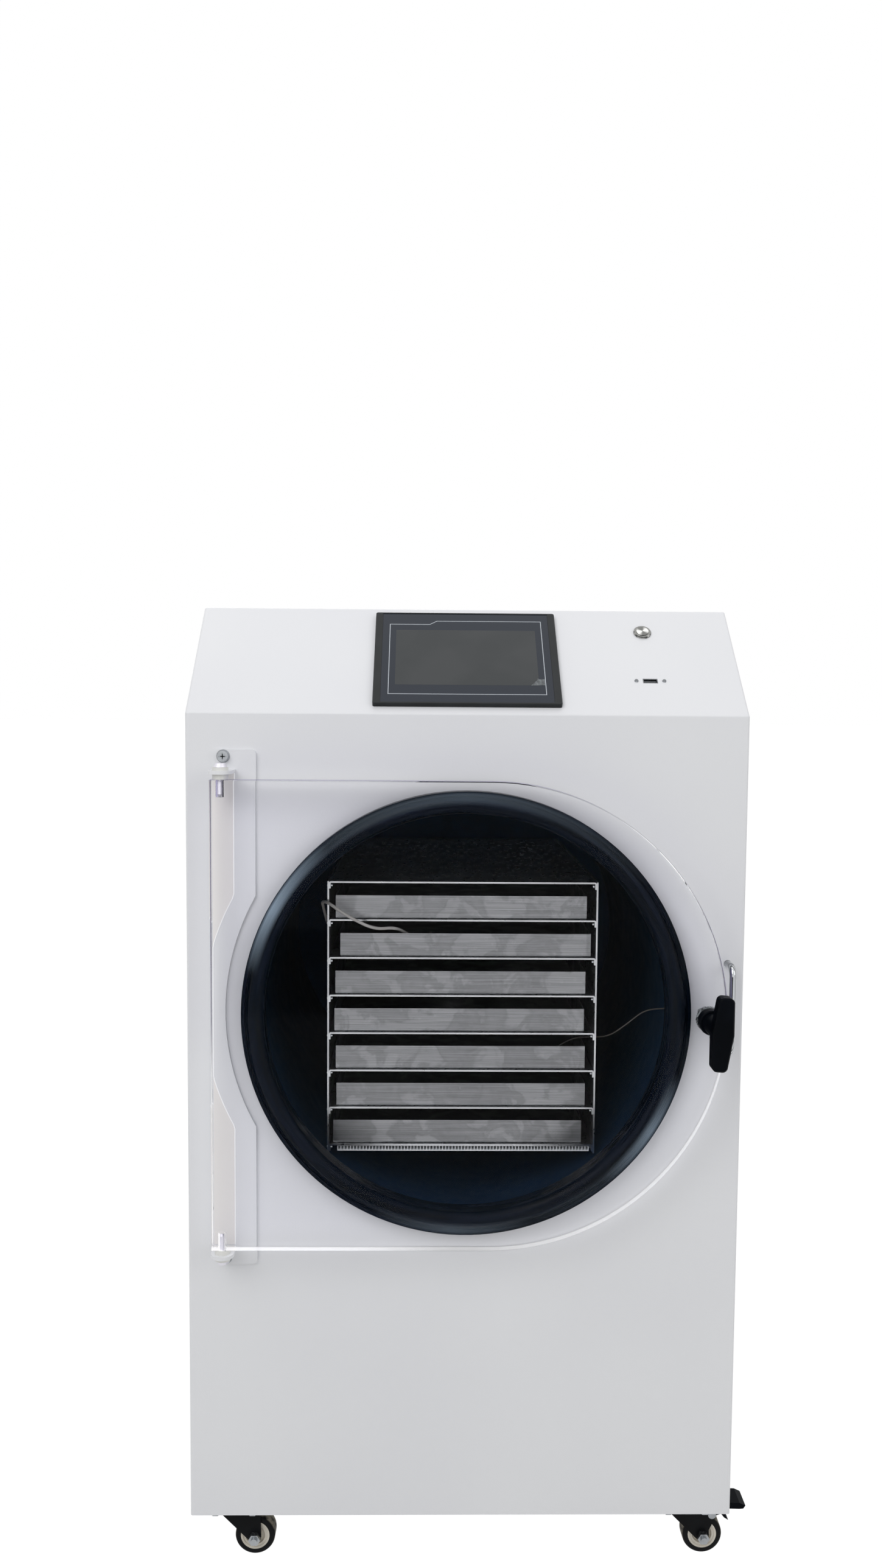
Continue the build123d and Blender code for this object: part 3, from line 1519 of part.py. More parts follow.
shroud_plate = condenser_front - shroud_thickness
ring_front = shroud_plate - shroud_ring
with BuildPart() as fan_shroud:
    with BuildSketch(facing(0, grille_z, -shroud_plate)):
        Rectangle(condenser_width, condenser_height)
        Circle(shroud_bore, mode=Mode.SUBTRACT)
    extrude(amount=-shroud_thickness)
    with BuildSketch(facing(0, grille_z, -ring_front)):
        Circle(shroud_bore + shroud_thickness)
        Circle(shroud_bore, mode=Mode.SUBTRACT)
    extrude(amount=-shroud_ring)
    with BuildSketch(facing(0, grille_z, -ring_front)):
        Rectangle(2 * shroud_bore + shroud_thickness, spider_arm)
        Rectangle(spider_arm, 2 * shroud_bore + shroud_thickness)
        Circle(motor_radius)
    extrude(amount=spider_thickness)
    with BuildSketch(facing(0, grille_z, spider_thickness - ring_front)):
        Circle(motor_radius)
    extrude(amount=motor_length)
    with BuildSketch(facing(0, grille_z, -ring_front)):
        Circle(fan_shaft_radius)
    extrude(amount=-(fan_gap + fan_hub_length))
write(fan_shroud, "fan_shroud")

fan_front = ring_front + fan_gap
fan_middle = Vector(cabinet_x, front_y + fan_front + fan_hub_length / 2, grille_z)
fan_axial = Vector(0, 1, 0)
blade_length = fan_radius - fan_hub_radius + fan_blade
with BuildPart() as fan_impeller:
    with BuildSketch(facing(0, grille_z, -fan_front)):
        Circle(fan_hub_radius)
    extrude(amount=-fan_hub_length)
    for i in range(fan_blades):
        turn = 2 * pi * i / fan_blades
        outwards = Vector(cos(turn), 0, sin(turn))
        chord = outwards.cross(fan_axial) * cos(radians(fan_pitch))
        chord += fan_axial * sin(radians(fan_pitch))
        root = fan_middle + outwards * (fan_hub_radius - fan_blade)
        with BuildSketch(Plane(origin=root, x_dir=chord, z_dir=outwards)):
            RectangleRounded(fan_blade_chord, fan_blade, fan_blade / 3)
        extrude(amount=blade_length)
    with BuildSketch(facing(0, grille_z, -fan_front)):
        Circle(fan_shaft_radius + fan_shaft_clearance)
    extrude(amount=-fan_hub_length, mode=Mode.SUBTRACT)
write(fan_impeller, "fan_impeller")

# ---- Rear fittings: vacuum port and power inlet ----
with BuildPart() as vacuum_port:
    with BuildSketch(facing(0, chamber_z, -chamber_depth)):
        Circle(port_radius)
    extrude(amount=-(cabinet_depth + port_reach - chamber_depth))
    with BuildSketch(facing(0, chamber_z, -cabinet_depth)):
        Circle(port_collar_radius)
    extrude(amount=-port_collar)
    with BuildSketch(facing(0, chamber_z, -(cabinet_depth + port_reach))):
        Circle(port_flange_radius)
    extrude(amount=port_flange)
    with BuildSketch(facing(0, chamber_z, -chamber_depth)):
        Circle(port_bore)
    extrude(amount=-(cabinet_depth + port_reach - chamber_depth), mode=Mode.SUBTRACT)
write(vacuum_port, "vacuum_port")

with BuildPart() as power_inlet:
    with BuildSketch(facing(inlet_offset, inlet_level, -cabinet_depth)):
        RectangleRounded(inlet_width, inlet_height, 2 * inlet_wall)
    extrude(amount=-inlet_flange)
    with BuildSketch(facing(inlet_offset, inlet_level, -cabinet_depth)):
        Rectangle(inlet_body_width, inlet_body_height)
    extrude(amount=inlet_body_depth)
    with BuildSketch(facing(inlet_offset, inlet_level, -(cabinet_depth + inlet_flange))):
        Rectangle(inlet_body_width - 2 * inlet_wall, inlet_body_height - 2 * inlet_wall)
    extrude(amount=inlet_socket_depth, mode=Mode.SUBTRACT)
    socket_floor = cabinet_depth + inlet_flange - inlet_socket_depth
    with BuildSketch(facing(inlet_offset, inlet_level, -socket_floor)):
        with Locations((-inlet_pin_gap, 0), (0, inlet_pin), (inlet_pin_gap, 0)):
            Rectangle(inlet_pin / 2, inlet_pin)
    extrude(amount=-(inlet_socket_depth - inlet_flange))
write(power_inlet, "power_inlet")

# ---- Chamber drain: bent pipe, side valve and lever ----
side_face = -cabinet_width / 2
valve_inner = side_face - drain_gap
valve_outer = valve_inner - valve_body_length
pipe_top = chamber_z - chamber_radius - drain_inset
with BuildPart() as drain_valve:
    with BuildLine():
        FilletPolyline(
            Vector(cabinet_x, front_y + drain_depth, pipe_top),
            Vector(cabinet_x, front_y + drain_depth, drain_level),
            Vector(cabinet_x + valve_inner, front_y + drain_depth, drain_level),
            radius=drain_bend,
        )
    with BuildSketch(level(0, drain_depth, pipe_top)):
        Circle(drain_radius)
        Circle(drain_bore, mode=Mode.SUBTRACT)
    sweep()
    for start, length, radius in (
        (valve_inner, valve_body_length, valve_body_radius),
        (valve_outer, valve_reach - drain_gap - valve_body_length, valve_spout_radius),
    ):
        with BuildSketch(profile(start)):
            with Locations((drain_depth, drain_level)):
                Circle(radius)
        extrude(amount=-length)
    with BuildSketch(profile(valve_inner)):
        with Locations((drain_depth, drain_level)):
            Circle(drain_bore - 1)
    extrude(amount=-valve_reach, mode=Mode.SUBTRACT)
    stem_x = (valve_inner + valve_outer) / 2
    with BuildSketch(level(stem_x, drain_depth, drain_level + valve_body_radius + stem_height)):
        Circle(2 * stem_radius)
    extrude(amount=-(stem_height + valve_body_radius - drain_bore))
    with BuildSketch(level(stem_x, drain_depth, drain_level + valve_body_radius + stem_height)):
        Circle(stem_radius + stem_clearance)
    extrude(amount=-(stem_height + stem_depth), mode=Mode.SUBTRACT)
write(drain_valve, "drain_valve")

lever_z = drain_level + valve_body_radius + stem_height + stem_clearance
with BuildPart() as drain_lever:
    with BuildSketch(level(stem_x, drain_depth, lever_z)):
        Circle(lever_hub_radius)
        with Locations((0, lever_length / 2)):
            RectangleRounded(lever_width, lever_length, lever_width / 3)
    extrude(amount=lever_thickness)
    with BuildSketch(level(stem_x, drain_depth, lever_z)):
        Circle(stem_radius)
    extrude(amount=-(stem_height + stem_depth - stem_clearance))
write(drain_lever, "drain_lever")
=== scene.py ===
# %% [markdown]
# # A floor-standing freeze dryer
# A white sheet-metal cabinet on four casters. A round vacuum chamber opens in its front behind a
# thick clear door, and a rack of seven steel trays stands inside. A touch screen, a push button and
# a USB socket sit on the slope above.
#
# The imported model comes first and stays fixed. Everything after it only adds finishes and fine
# pieces, because the solid parts already have the right shapes and joints.

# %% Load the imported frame
import json
from math import pi, radians

import bmesh
import bpy
from mathutils import Matrix, Vector


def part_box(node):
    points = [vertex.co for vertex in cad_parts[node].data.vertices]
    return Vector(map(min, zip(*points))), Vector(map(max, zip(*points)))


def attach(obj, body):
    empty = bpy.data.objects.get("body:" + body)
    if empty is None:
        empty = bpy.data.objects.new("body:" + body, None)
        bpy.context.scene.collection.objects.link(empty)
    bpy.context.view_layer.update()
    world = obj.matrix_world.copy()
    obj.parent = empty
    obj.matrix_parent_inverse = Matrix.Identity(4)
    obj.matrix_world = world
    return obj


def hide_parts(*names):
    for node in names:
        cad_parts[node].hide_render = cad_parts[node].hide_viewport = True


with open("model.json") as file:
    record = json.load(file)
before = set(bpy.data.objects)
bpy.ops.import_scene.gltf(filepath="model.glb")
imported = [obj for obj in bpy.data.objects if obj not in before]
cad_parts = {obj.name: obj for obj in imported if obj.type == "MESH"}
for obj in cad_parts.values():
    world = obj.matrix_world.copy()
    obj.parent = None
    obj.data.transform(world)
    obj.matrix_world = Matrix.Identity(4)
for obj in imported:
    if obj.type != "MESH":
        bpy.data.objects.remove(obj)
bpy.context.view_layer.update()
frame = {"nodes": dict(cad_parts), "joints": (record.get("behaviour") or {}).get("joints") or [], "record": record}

nodes = frame["nodes"]

# %% [markdown]
# ## Measures
# The joints in the record say which way things face. The push button moves straight into the slope,
# so the slope's outward direction is the button's axis turned round, and the way up the slope is
# square to it.

# %% Directions of the slope and a way to measure along them
joints = {joint["name"]: joint for joint in frame["joints"]}
slope_out = -Vector(joints["button_press"]["axis"]).normalized()
slope_right = Vector((1, 0, 0))
slope_up = slope_out.cross(slope_right)
MM = 0.001


def reach(node, direction):
    """How far a solid part goes along a direction: its least and greatest distance from the origin."""
    along = [vertex.co.dot(direction) for vertex in nodes[node].data.vertices]
    return min(along), max(along)


print("slope faces", [round(v, 3) for v in slope_out], "up", [round(v, 3) for v in slope_up])

# %% [markdown]
# ## Camera, backdrop and lamps
# The camera stands about 1.4 m in front of the cabinet, at the height of the fold under the screen,
# and looks down by four degrees. Its frame is upright, so the lens is fitted to the frame's height.

# %% Camera
frame_height_mm = 36
lens_mm = 27.126
camera_place = (-0.05025, -1.71905, 1.0762)
camera_turn = (86.0407, -0.4344, -0.8122)   # degrees: up from straight down, roll, swing to the right
nearest_seen = 0.05
camera_data = bpy.data.cameras.new("Camera")
camera_data.sensor_fit = "VERTICAL"
camera_data.sensor_height = frame_height_mm
camera_data.lens = lens_mm
camera_data.clip_start = nearest_seen
camera = bpy.data.objects.new("Camera", camera_data)
camera.location = camera_place
camera.rotation_euler = [radians(angle) for angle in camera_turn]
bpy.context.scene.collection.objects.link(camera)
bpy.context.scene.camera = camera
bpy.context.scene.view_settings.view_transform = "Standard"
print("camera height", camera.location.z)

# %% [markdown]
# Colours are written as the sRGB hex values that a paint chart would give. The shaders work in linear
# light, so one function turns them over.


# %% Colour values and the one node helper
def linear(code):
    """An sRGB hex colour as linear red, green, blue and full alpha."""
    parts = [int(code[place : place + 2], 16) / 255 for place in (1, 3, 5)]
    return (*[c / 12.92 if c <= 0.04045 else ((c + 0.055) / 1.055) ** 2.4 for c in parts], 1)


def add(tree, kind, inputs, stops=(), **settings):
    """Add one node with its settings, its links or values, and the stops of its colour ramp."""
    node = tree.nodes.new("ShaderNode" + kind)
    for name, value in settings.items():
        setattr(node, name, value)
    for name, value in inputs.items():
        if isinstance(value, bpy.types.NodeSocket):
            tree.links.new(value, node.inputs[name])
        else:
            node.inputs[name].default_value = value
    for place, (position, colour) in enumerate(stops):
        elements = node.color_ramp.elements
        element = elements[place] if place < len(elements) else elements.new(position)
        element.position = position
        element.color = colour
    return node


def per_mm(size):
    """The scale that gives a pattern features of about this many millimetres."""
    return 1 / (size * MM)


def grey(value):
    """A grey that stands for a plain number in a ramp."""
    return (value, value, value, 1)


print("white in linear light", linear("#ffffff")[:3])

# %% [markdown]
# The room is a plain studio. What the camera sees behind the object is white. The light that falls on
# the object is a soft even level with no colour, and four large lamps give it a direction. The world
# is white for gloss and for what is seen through the door too, so metal shows the same room. A Light
# Path node tells these rays apart, and the larger of its answers tells whether any of them is true.


# %% Helper: kinds of ray
def any_ray(tree, first, *others):
    """A socket that is 1 for rays of the named kinds and 0 for all the rest."""
    path = add(tree, "LightPath", {})
    found = path.outputs[f"Is {first} Ray"]
    for kind in others:
        either = {0: found, 1: path.outputs[f"Is {kind} Ray"]}
        found = add(tree, "Math", either, operation="MAXIMUM").outputs[0]
    return found


print("ray helper ready")

# %% World
soft_light = 0.46           # level of the light that reaches the object, where the room's white is 1
world = bpy.data.worlds.new("Studio")
bpy.context.scene.world = world
world.use_nodes = True
sky = world.node_tree
sky.nodes.clear()
seen = any_ray(sky, "Camera", "Transmission", "Glossy")
level = add(sky, "MapRange", {"Value": seen, "To Min": soft_light, "To Max": 1.0})
backdrop = add(sky, "Background", {"Color": linear("#ffffff"), "Strength": level.outputs[0]})
add(sky, "OutputWorld", {"Surface": backdrop.outputs[0]})
print("soft light", soft_light)

# %% [markdown]
# Four square lamps face the machine's middle. The key lamp stands high on the left and is the
# strongest, the fill lamp stands on the right, and the other two keep the top and the back from going
# dull. They are about two metres wide, so that shadows have soft edges.

# %% Lamps
# name: place in metres, width in metres, power in watts
lamps = {
    "Key": ((-1.5, -2.6, 3.0), 2.4, 44),
    "Fill": ((2.4, -2.2, 2.0), 2.0, 13),
    "Top": ((0.2, 0.2, 3.2), 2.4, 12),
    "Back": ((-0.8, 2.8, 2.4), 2.0, 22),
}
aim = Vector((0, 0, 0.7))
for name, (place, size, power) in lamps.items():
    lamp_data = bpy.data.lights.new(name, "AREA")
    lamp_data.shape = "SQUARE"
    lamp_data.size = size
    lamp_data.energy = power
    lamp = bpy.data.objects.new(name, lamp_data)
    lamp.location = place
    lamp.rotation_euler = (aim - Vector(place)).to_track_quat("-Z", "Y").to_euler()
    bpy.context.scene.collection.objects.link(lamp)
print("lamps:", len(lamps))

# %% [markdown]
# Polished metal in an all-white room looks like chalk. So two tall black cards stand beside the
# camera and one low card lies across, where only reflections see them. They draw the dark lines that
# make chrome read as chrome.

# %% Black cards
# name: place, then width and height, all in metres
cards = {
    "Card_left": ((-1.9, -2.5, 1.2), (0.34, 2.4)),
    "Card_right": ((1.55, -2.5, 1.2), (0.34, 2.4)),
    "Card_low": ((-0.9, -3.0, 0.15), (2.2, 0.3)),
}
card_paint = bpy.data.materials.new("card_black")
card_paint.use_nodes = True
card_paint.node_tree.nodes["Principled BSDF"].inputs["Base Color"].default_value = linear("#0c0c0d")
for name, (place, (wide, tall)) in cards.items():
    mesh = bmesh.new()
    bmesh.ops.create_grid(mesh, x_segments=1, y_segments=1, size=0.5)   # a square metre
    bmesh.ops.scale(mesh, vec=(wide, tall, 1), verts=mesh.verts)
    bmesh.ops.rotate(mesh, matrix=Matrix.Rotation(pi / 2, 3, "X"), verts=mesh.verts)
    bmesh.ops.translate(mesh, vec=place, verts=mesh.verts)
    data = bpy.data.meshes.new(name)
    mesh.to_mesh(data)
    mesh.free()
    data.materials.append(card_paint)
    card = bpy.data.objects.new(name, data)
    bpy.context.scene.collection.objects.link(card)
    card.visible_camera = card.visible_shadow = False
    card.visible_diffuse = card.visible_transmission = False
print("cards:", len(cards))

# %% [markdown]
# The floor is a pale matt sheet, so large that its edge is out of sight. It runs up to white where
# the camera looks at it, and keeps part of the soft shadow under the casters.

# %% Floor sheet
floor_reach = 60            # metres from the middle to the floor's edges
floor_mesh = bmesh.new()
bmesh.ops.create_grid(floor_mesh, x_segments=1, y_segments=1, size=floor_reach)
floor_data = bpy.data.meshes.new("Floor")
floor_mesh.to_mesh(floor_data)
floor_mesh.free()
floor = bpy.data.objects.new("Floor", floor_data)
bpy.context.scene.collection.objects.link(floor)
print("floor", 2 * floor_reach, "m wide")

# %% Floor paint
white_share = 0.95          # how much of the seen floor is plain white; the rest takes the shadow
white_level = 1.06
floor_paint = bpy.data.materials.new("pale_floor")
floor_paint.use_nodes = True
tree = floor_paint.node_tree
tree.nodes.clear()
seen = any_ray(tree, "Camera", "Transmission", "Glossy")
share = add(tree, "Math", {0: seen, 1: white_share}, operation="MULTIPLY")
matt = add(tree, "BsdfDiffuse", {"Color": linear("#e4e4e2")})
glow = add(tree, "Emission", {"Color": linear("#ffffff"), "Strength": white_level})
both = add(tree, "MixShader", {0: share.outputs[0], 1: matt.outputs[0], 2: glow.outputs[0]})
add(tree, "OutputMaterial", {"Surface": both.outputs[0]})
floor_data.materials.append(floor_paint)
print("floor paint ready")

# %% [markdown]
# ## Finishes
# Every finish starts as a plain Principled shader and reads Object coordinates, which are metres on
# the real machine. So a pattern's scale comes from a size in millimetres.


# %% A blank finish
def finish(name, colour, roughness, metallic=0.0):
    """A new material of one colour; returns it, its node tree, its shader and its coordinates."""
    material = bpy.data.materials.new(name)
    material.use_nodes = True
    tree = material.node_tree
    shader = tree.nodes["Principled BSDF"]
    shader.inputs["Base Color"].default_value = linear(colour)
    shader.inputs["Roughness"].default_value = roughness
    shader.inputs["Metallic"].default_value = metallic
    place = add(tree, "TexCoord", {}).outputs["Object"]
    return material, tree, shader, place


finishes = {}

# %% [markdown]
# Powder coat: epoxy-polyester powder baked on steel. It melts into a skin with a fine orange peel,
# about a millimetre apart on the real sheet and drawn coarser here so that it shows. The colour
# drifts very little over a whole panel. To the eye it is a soft, even white with a blurred shine.

# %% White powder coat and grey frame paint
peel_mm = 2.6               # the real peel is nearer 1 mm
peel_depth = 0.25 * MM
drift_mm = 420
for slot, pale, deep in (("white_powder", "#ebecef", "#e6e7eb"), ("frame_paint", "#a4a8ac", "#989ca1")):
    material, tree, shader, place = finish("powder_coat_" + slot.split("_")[0], pale, 0.36)
    drift = add(tree, "TexNoise", {"Vector": place, "Scale": per_mm(drift_mm), "Detail": 2.0})
    tones = ((0.35, linear(deep)), (0.65, linear(pale)))
    colour = add(tree, "ValToRGB", {"Fac": drift.outputs[0]}, stops=tones)
    tree.links.new(colour.outputs[0], shader.inputs["Base Color"])
    peel_look = {"Vector": place, "Scale": per_mm(peel_mm), "Detail": 1.0, "Roughness": 0.4}
    peel = add(tree, "TexNoise", peel_look)
    gloss = add(tree, "MapRange", {"Value": peel.outputs[0], "To Min": 0.32, "To Max": 0.42})
    tree.links.new(gloss.outputs[0], shader.inputs["Roughness"])
    relief = add(tree, "Bump", {"Height": peel.outputs[0], "Distance": peel_depth, "Strength": 0.25})
    tree.links.new(relief.outputs[0], shader.inputs["Normal"])
    finishes[slot] = material
print("powder coats ready")

# %% [markdown]
# Black paint on the casters and the pedal, and the plastics. They differ in colour, in shine and in
# their grain, and are otherwise made the same way, so one table and one loop hold them all. A cloud
# of a few centimetres keeps any of them from looking like one flat colour.

# %% Table of black paint and plastics
# finish in the record, its name, two tones, roughness, specular level, grain in mm, relief
plastics = (
    # flows out nearly smooth, with a soft gloss
    ("black_paint", "stoved_black_paint", "#060709", "#0b0d10", 0.32, 0.08, 1.6, 0.10),
    # deep black, with a faint spark-eroded grain from its mould
    ("black_plastic", "moulded_black_nylon", "#030509", "#06090f", 0.38, 0.04, 1.0, 0.12),
    # charcoal and matt, from a textured mould
    ("screen_plastic", "moulded_black_ABS", "#181b1c", "#202325", 0.50, 0.26, 0.9, 0.30),
    # milky white, smooth from the lathe
    ("white_nylon", "turned_white_nylon", "#e9e9e6", "#dededa", 0.42, 0.5, 2.0, 0.08),
    # warm off-white, a little waxy
    ("cream_plastic", "moulded_cream_nylon", "#dad4c8", "#cdc6b8", 0.46, 0.5, 2.0, 0.10),
    # dead matt and full of pores
    ("black_foam", "closed_cell_foam", "#131517", "#1d2022", 0.92, 0.1, 1.4, 0.60),
    # pale and satin, smooth from its extruder
    ("lead_sheath", "silicone_lead_sheath", "#b4b2ae", "#a19e99", 0.48, 0.4, 1.2, 0.10),
)
print("rows:", len(plastics))

# %% Black paint and plastics
cloud_mm = 28
gloss_spread = 0.06
grain_depth = 0.1 * MM
for slot, name, dark, pale, roughness, shine, grain_mm, depth in plastics:
    material, tree, shader, place = finish(name, dark, roughness)
    shader.inputs["Specular IOR Level"].default_value = shine
    grain = add(tree, "TexNoise", {"Vector": place, "Scale": per_mm(grain_mm), "Detail": 2.0})
    cloud = add(tree, "TexNoise", {"Vector": place, "Scale": per_mm(cloud_mm), "Detail": 3.0})
    tones = ((0.4, linear(dark)), (0.66, linear(pale)))
    colour = add(tree, "ValToRGB", {"Fac": cloud.outputs[0]}, stops=tones)
    tree.links.new(colour.outputs[0], shader.inputs["Base Color"])
    low, high = roughness - gloss_spread, roughness + gloss_spread
    gloss = add(tree, "MapRange", {"Value": cloud.outputs[0], "To Min": low, "To Max": high})
    tree.links.new(gloss.outputs[0], shader.inputs["Roughness"])
    relief = add(tree, "Bump", {"Height": grain.outputs[0], "Distance": grain_depth, "Strength": depth})
    tree.links.new(relief.outputs[0], shader.inputs["Normal"])
    finishes[slot] = material
print("black paint and plastics ready")

# %% [markdown]
# Both probe leads share one finish in the record. The one on the right is thinner and browned, so the
# colour turns over at the machine's middle.

# %% Lead sheath
browned = linear("#4a4642")
turnover_width = 20 * MM
tree = finishes["lead_sheath"].node_tree
shader = tree.nodes["Principled BSDF"]
pale_sheath = shader.inputs["Base Color"].links[0].from_socket
sides = add(tree, "SeparateXYZ", {0: add(tree, "TexCoord", {}).outputs["Object"]})
turnover = {"Value": sides.outputs["X"], "From Min": 0.0, "From Max": turnover_width}
right_side = add(tree, "MapRange", turnover)
both_tones = {0: right_side.outputs[0], 6: pale_sheath, 7: browned}
sheath = add(tree, "Mix", both_tones, data_type="RGBA")
tree.links.new(sheath.outputs[2], shader.inputs["Base Color"])
print("lead sheath ready")

# %% [markdown]
# Plain metals. Each has its own colour in reflection, and its roughness varies where it was handled
# or where the plating grew in fine crystals. Small bright parts mirror a whole room: a dark band lies
# where the surface leans away by about a third, and light ones on both sides of it. A ramp over the
# lean paints those bands into the base colour, as a painted reflection.

# %% Painted reflection bands of small bright parts
# pairs of a lean, from 0 for a face turned to the eye to 1 for an edge-on one, and its painted brightness
no_painted_bands = ((0.0, 1.0), (1.0, 1.0))
painted_reflection_bands = {
    "zinc_steel": ((0.0, 0.86), (0.12, 1.0), (0.30, 0.22), (0.42, 0.95), (0.8, 0.6)),
    "polished_chrome": (
        (0.0, 0.95), (0.16, 1.0), (0.30, 0.08), (0.40, 1.0), (0.62, 0.25), (0.8, 1.0),
    ),
    "button_metal": (
        (0.0, 0.1), (0.14, 0.12), (0.22, 1.0), (0.30, 1.0), (0.38, 0.1), (0.55, 0.9), (0.8, 0.1),
    ),
}
print("mirrored rooms:", len(painted_reflection_bands))

# %% Table of metals
# finish in the record, its name, colour, least and most roughness, patch size in mm, relief
metals = (
    # bluish white, a fine crystal bloom
    ("zinc_steel", "bright_zinc_plate", "#c2c6ca", 0.20, 0.42, 2.2, 0.10),
    # a clean mirror
    ("polished_chrome", "polished_chrome_plate", "#d6d9dc", 0.04, 0.14, 9.0, 0.02),
    # a blurred mirror, neutral grey
    ("button_metal", "plated_brass_satin", "#b4b4b1", 0.22, 0.34, 1.2, 0.05),
    # pale and silky
    ("stainless", "satin_stainless_strip", "#c6c8ca", 0.26, 0.34, 9.0, 0.0),
    # painted dark navy: the shade in the depth of the chamber, with a painted cold reflection
    ("chamber_steel", "dull_stainless_painted_shade", "#27415f", 0.62, 0.72, 14.0, 0.03),
    # salmon red, smooth along the tube
    ("copper", "drawn_copper_tube", "#b5714c", 0.24, 0.46, 6.0, 0.06),
    # warm silver
    ("plated_brass", "nickel_plated_brass", "#bdb8a8", 0.18, 0.32, 4.0, 0.04),
    # dull and a little streaky from the rolls
    ("fin_aluminium", "mill_finish_aluminium", "#b4b8bb", 0.34, 0.52, 3.0, 0.08),
)
print("rows:", len(metals))

# %% Metals
shade_to_patch = 6          # the colour drifts over six times the size of the roughness patches
shade_depth = 0.82
for slot, name, colour, smooth, rough, patch_mm, depth in metals:
    material, tree, shader, place = finish(name, colour, rough, metallic=1.0)
    patches = add(tree, "TexNoise", {"Vector": place, "Scale": per_mm(patch_mm), "Detail": 3.0})
    spread = {"Value": patches.outputs[0], "From Min": 0.3, "From Max": 0.7}
    gloss = add(tree, "MapRange", {**spread, "To Min": smooth, "To Max": rough})
    tree.links.new(gloss.outputs[0], shader.inputs["Roughness"])
    shade_scale = per_mm(shade_to_patch * patch_mm)
    shade = add(tree, "TexNoise", {"Vector": place, "Scale": shade_scale, "Detail": 2.0})
    base = linear(colour)
    deeper = (*[shade_depth * part for part in base[:3]], 1)
    tint = add(tree, "ValToRGB", {"Fac": shade.outputs[0]}, stops=((0.35, deeper), (0.6, base)))
    bumps = {"Height": patches.outputs[0], "Distance": grain_depth, "Strength": depth}
    relief = add(tree, "Bump", bumps)
    tree.links.new(relief.outputs[0], shader.inputs["Normal"])
    # painted reflection: bands by the surface's lean darken and lighten the base colour
    leaning = add(tree, "LayerWeight", {"Blend": 0.5})
    bands = [(at, grey(value)) for at, value in painted_reflection_bands.get(slot, no_painted_bands)]
    room = add(tree, "ValToRGB", {"Fac": leaning.outputs["Facing"]}, stops=bands)
    layers = {0: 1.0, 6: tint.outputs[0], 7: room.outputs[0]}
    painted_reflection = add(tree, "Mix", layers, data_type="RGBA", blend_type="MULTIPLY")
    tree.links.new(painted_reflection.outputs[2], shader.inputs["Base Color"])
    finishes[slot] = material
print("metals ready")

# %% [markdown]
# The trays are brushed stainless sheet that has been washed many times. The brushing runs along the
# front, so the noise is drawn out about 80 to 1 in that direction. Water left darker blotches with
# soft edges and small pale drop rings.

# %% Brushing of the tray steel
brushing_mm = 0.9           # the real scratches are finer
along_to_across = 0.012     # how far the noise is drawn out along the sheet
material, tree, shader, place = finish("brushed_tray_steel", "#8b8c90", 0.4, metallic=1.0)
drawn_out = (along_to_across, along_to_across, 1.0)
stretched = add(tree, "Mapping", {"Vector": place, "Scale": drawn_out}).outputs[0]
scratches = {"Vector": stretched, "Scale": per_mm(brushing_mm), "Detail": 3.0, "Roughness": 0.6}
brushing = add(tree, "TexNoise", scratches)
tones = ((0.3, linear("#7b7c7e")), (0.7, linear("#999a9c")))
lines = add(tree, "ValToRGB", {"Fac": brushing.outputs[0]}, stops=tones)
relief = add(tree, "Bump", {"Height": brushing.outputs[0], "Distance": 0.05 * MM, "Strength": 0.3})
tree.links.new(relief.outputs[0], shader.inputs["Normal"])
finishes["tray_steel"] = material
print("tray steel brushed")

# %% Water marks on the tray steel
blotch_mm = 34
drop_mm = 13
water = {"Scale": per_mm(blotch_mm), "Detail": 4.0, "Roughness": 0.55, "Distortion": 0.6}
blotches = add(tree, "TexNoise", {"Vector": place, **water})
edges = ((0.44, grey(1.0)), (0.50, grey(0.80)), (0.60, grey(0.92)))
stain = add(tree, "ValToRGB", {"Fac": blotches.outputs[0]}, stops=edges)
layers = {0: 1.0, 6: lines.outputs[0], 7: stain.outputs[0]}
marked = add(tree, "Mix", layers, data_type="RGBA", blend_type="MULTIPLY")
drops = add(tree, "TexVoronoi", {"Vector": place, "Scale": per_mm(drop_mm), "Randomness": 1.0})
edges = ((0.10, grey(1.0)), (0.16, grey(1.12)), (0.20, grey(1.0)))
rings = add(tree, "ValToRGB", {"Fac": drops.outputs["Distance"]}, stops=edges)
layers = {0: 1.0, 6: marked.outputs[2], 7: rings.outputs[0]}
washed = add(tree, "Mix", layers, data_type="RGBA", blend_type="MULTIPLY")
tree.links.new(washed.outputs[2], shader.inputs["Base Color"])
spread = {"Value": blotches.outputs[0], "From Min": 0.4, "From Max": 0.6}
gloss = add(tree, "MapRange", {**spread, "To Min": 0.30, "To Max": 0.46})
tree.links.new(gloss.outputs[0], shader.inputs["Roughness"])
print("tray steel ready")

# %% [markdown]
# Rubber. The chamber's gasket is moulded nitrile with a glossy skin. Long soft streaks round the ring
# vary its gloss, and they also lift its colour a little, which paints faint sheen into it. The
# streaks need the distance and the angle round the chamber's axis, so the pattern is made in those
# two values.

# %% Gasket rubber
streak_stretch = (2.2, 160.0, 160.0)    # features per radian round the ring and per metre across it
gasket_low, gasket_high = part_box("door_gasket")
chamber_middle = (gasket_low + gasket_high) / 2
material, tree, shader, place = finish("moulded_nitrile_seal", "#080d14", 0.24)
shader.inputs["Specular IOR Level"].default_value = 0.05
centred = add(tree, "VectorMath", {0: place, 1: chamber_middle}, operation="SUBTRACT")
parts = add(tree, "SeparateXYZ", {0: centred.outputs[0]})
angle = add(tree, "Math", {0: parts.outputs["Z"], 1: parts.outputs["X"]}, operation="ARCTAN2")
radius = add(tree, "VectorMath", {0: centred.outputs[0]}, operation="LENGTH")
ring_place = {0: angle.outputs[0], 1: radius.outputs["Value"], 2: parts.outputs["Y"]}
polar = add(tree, "CombineXYZ", ring_place)
drawn_out = add(tree, "Mapping", {"Vector": polar.outputs[0], "Scale": streak_stretch})
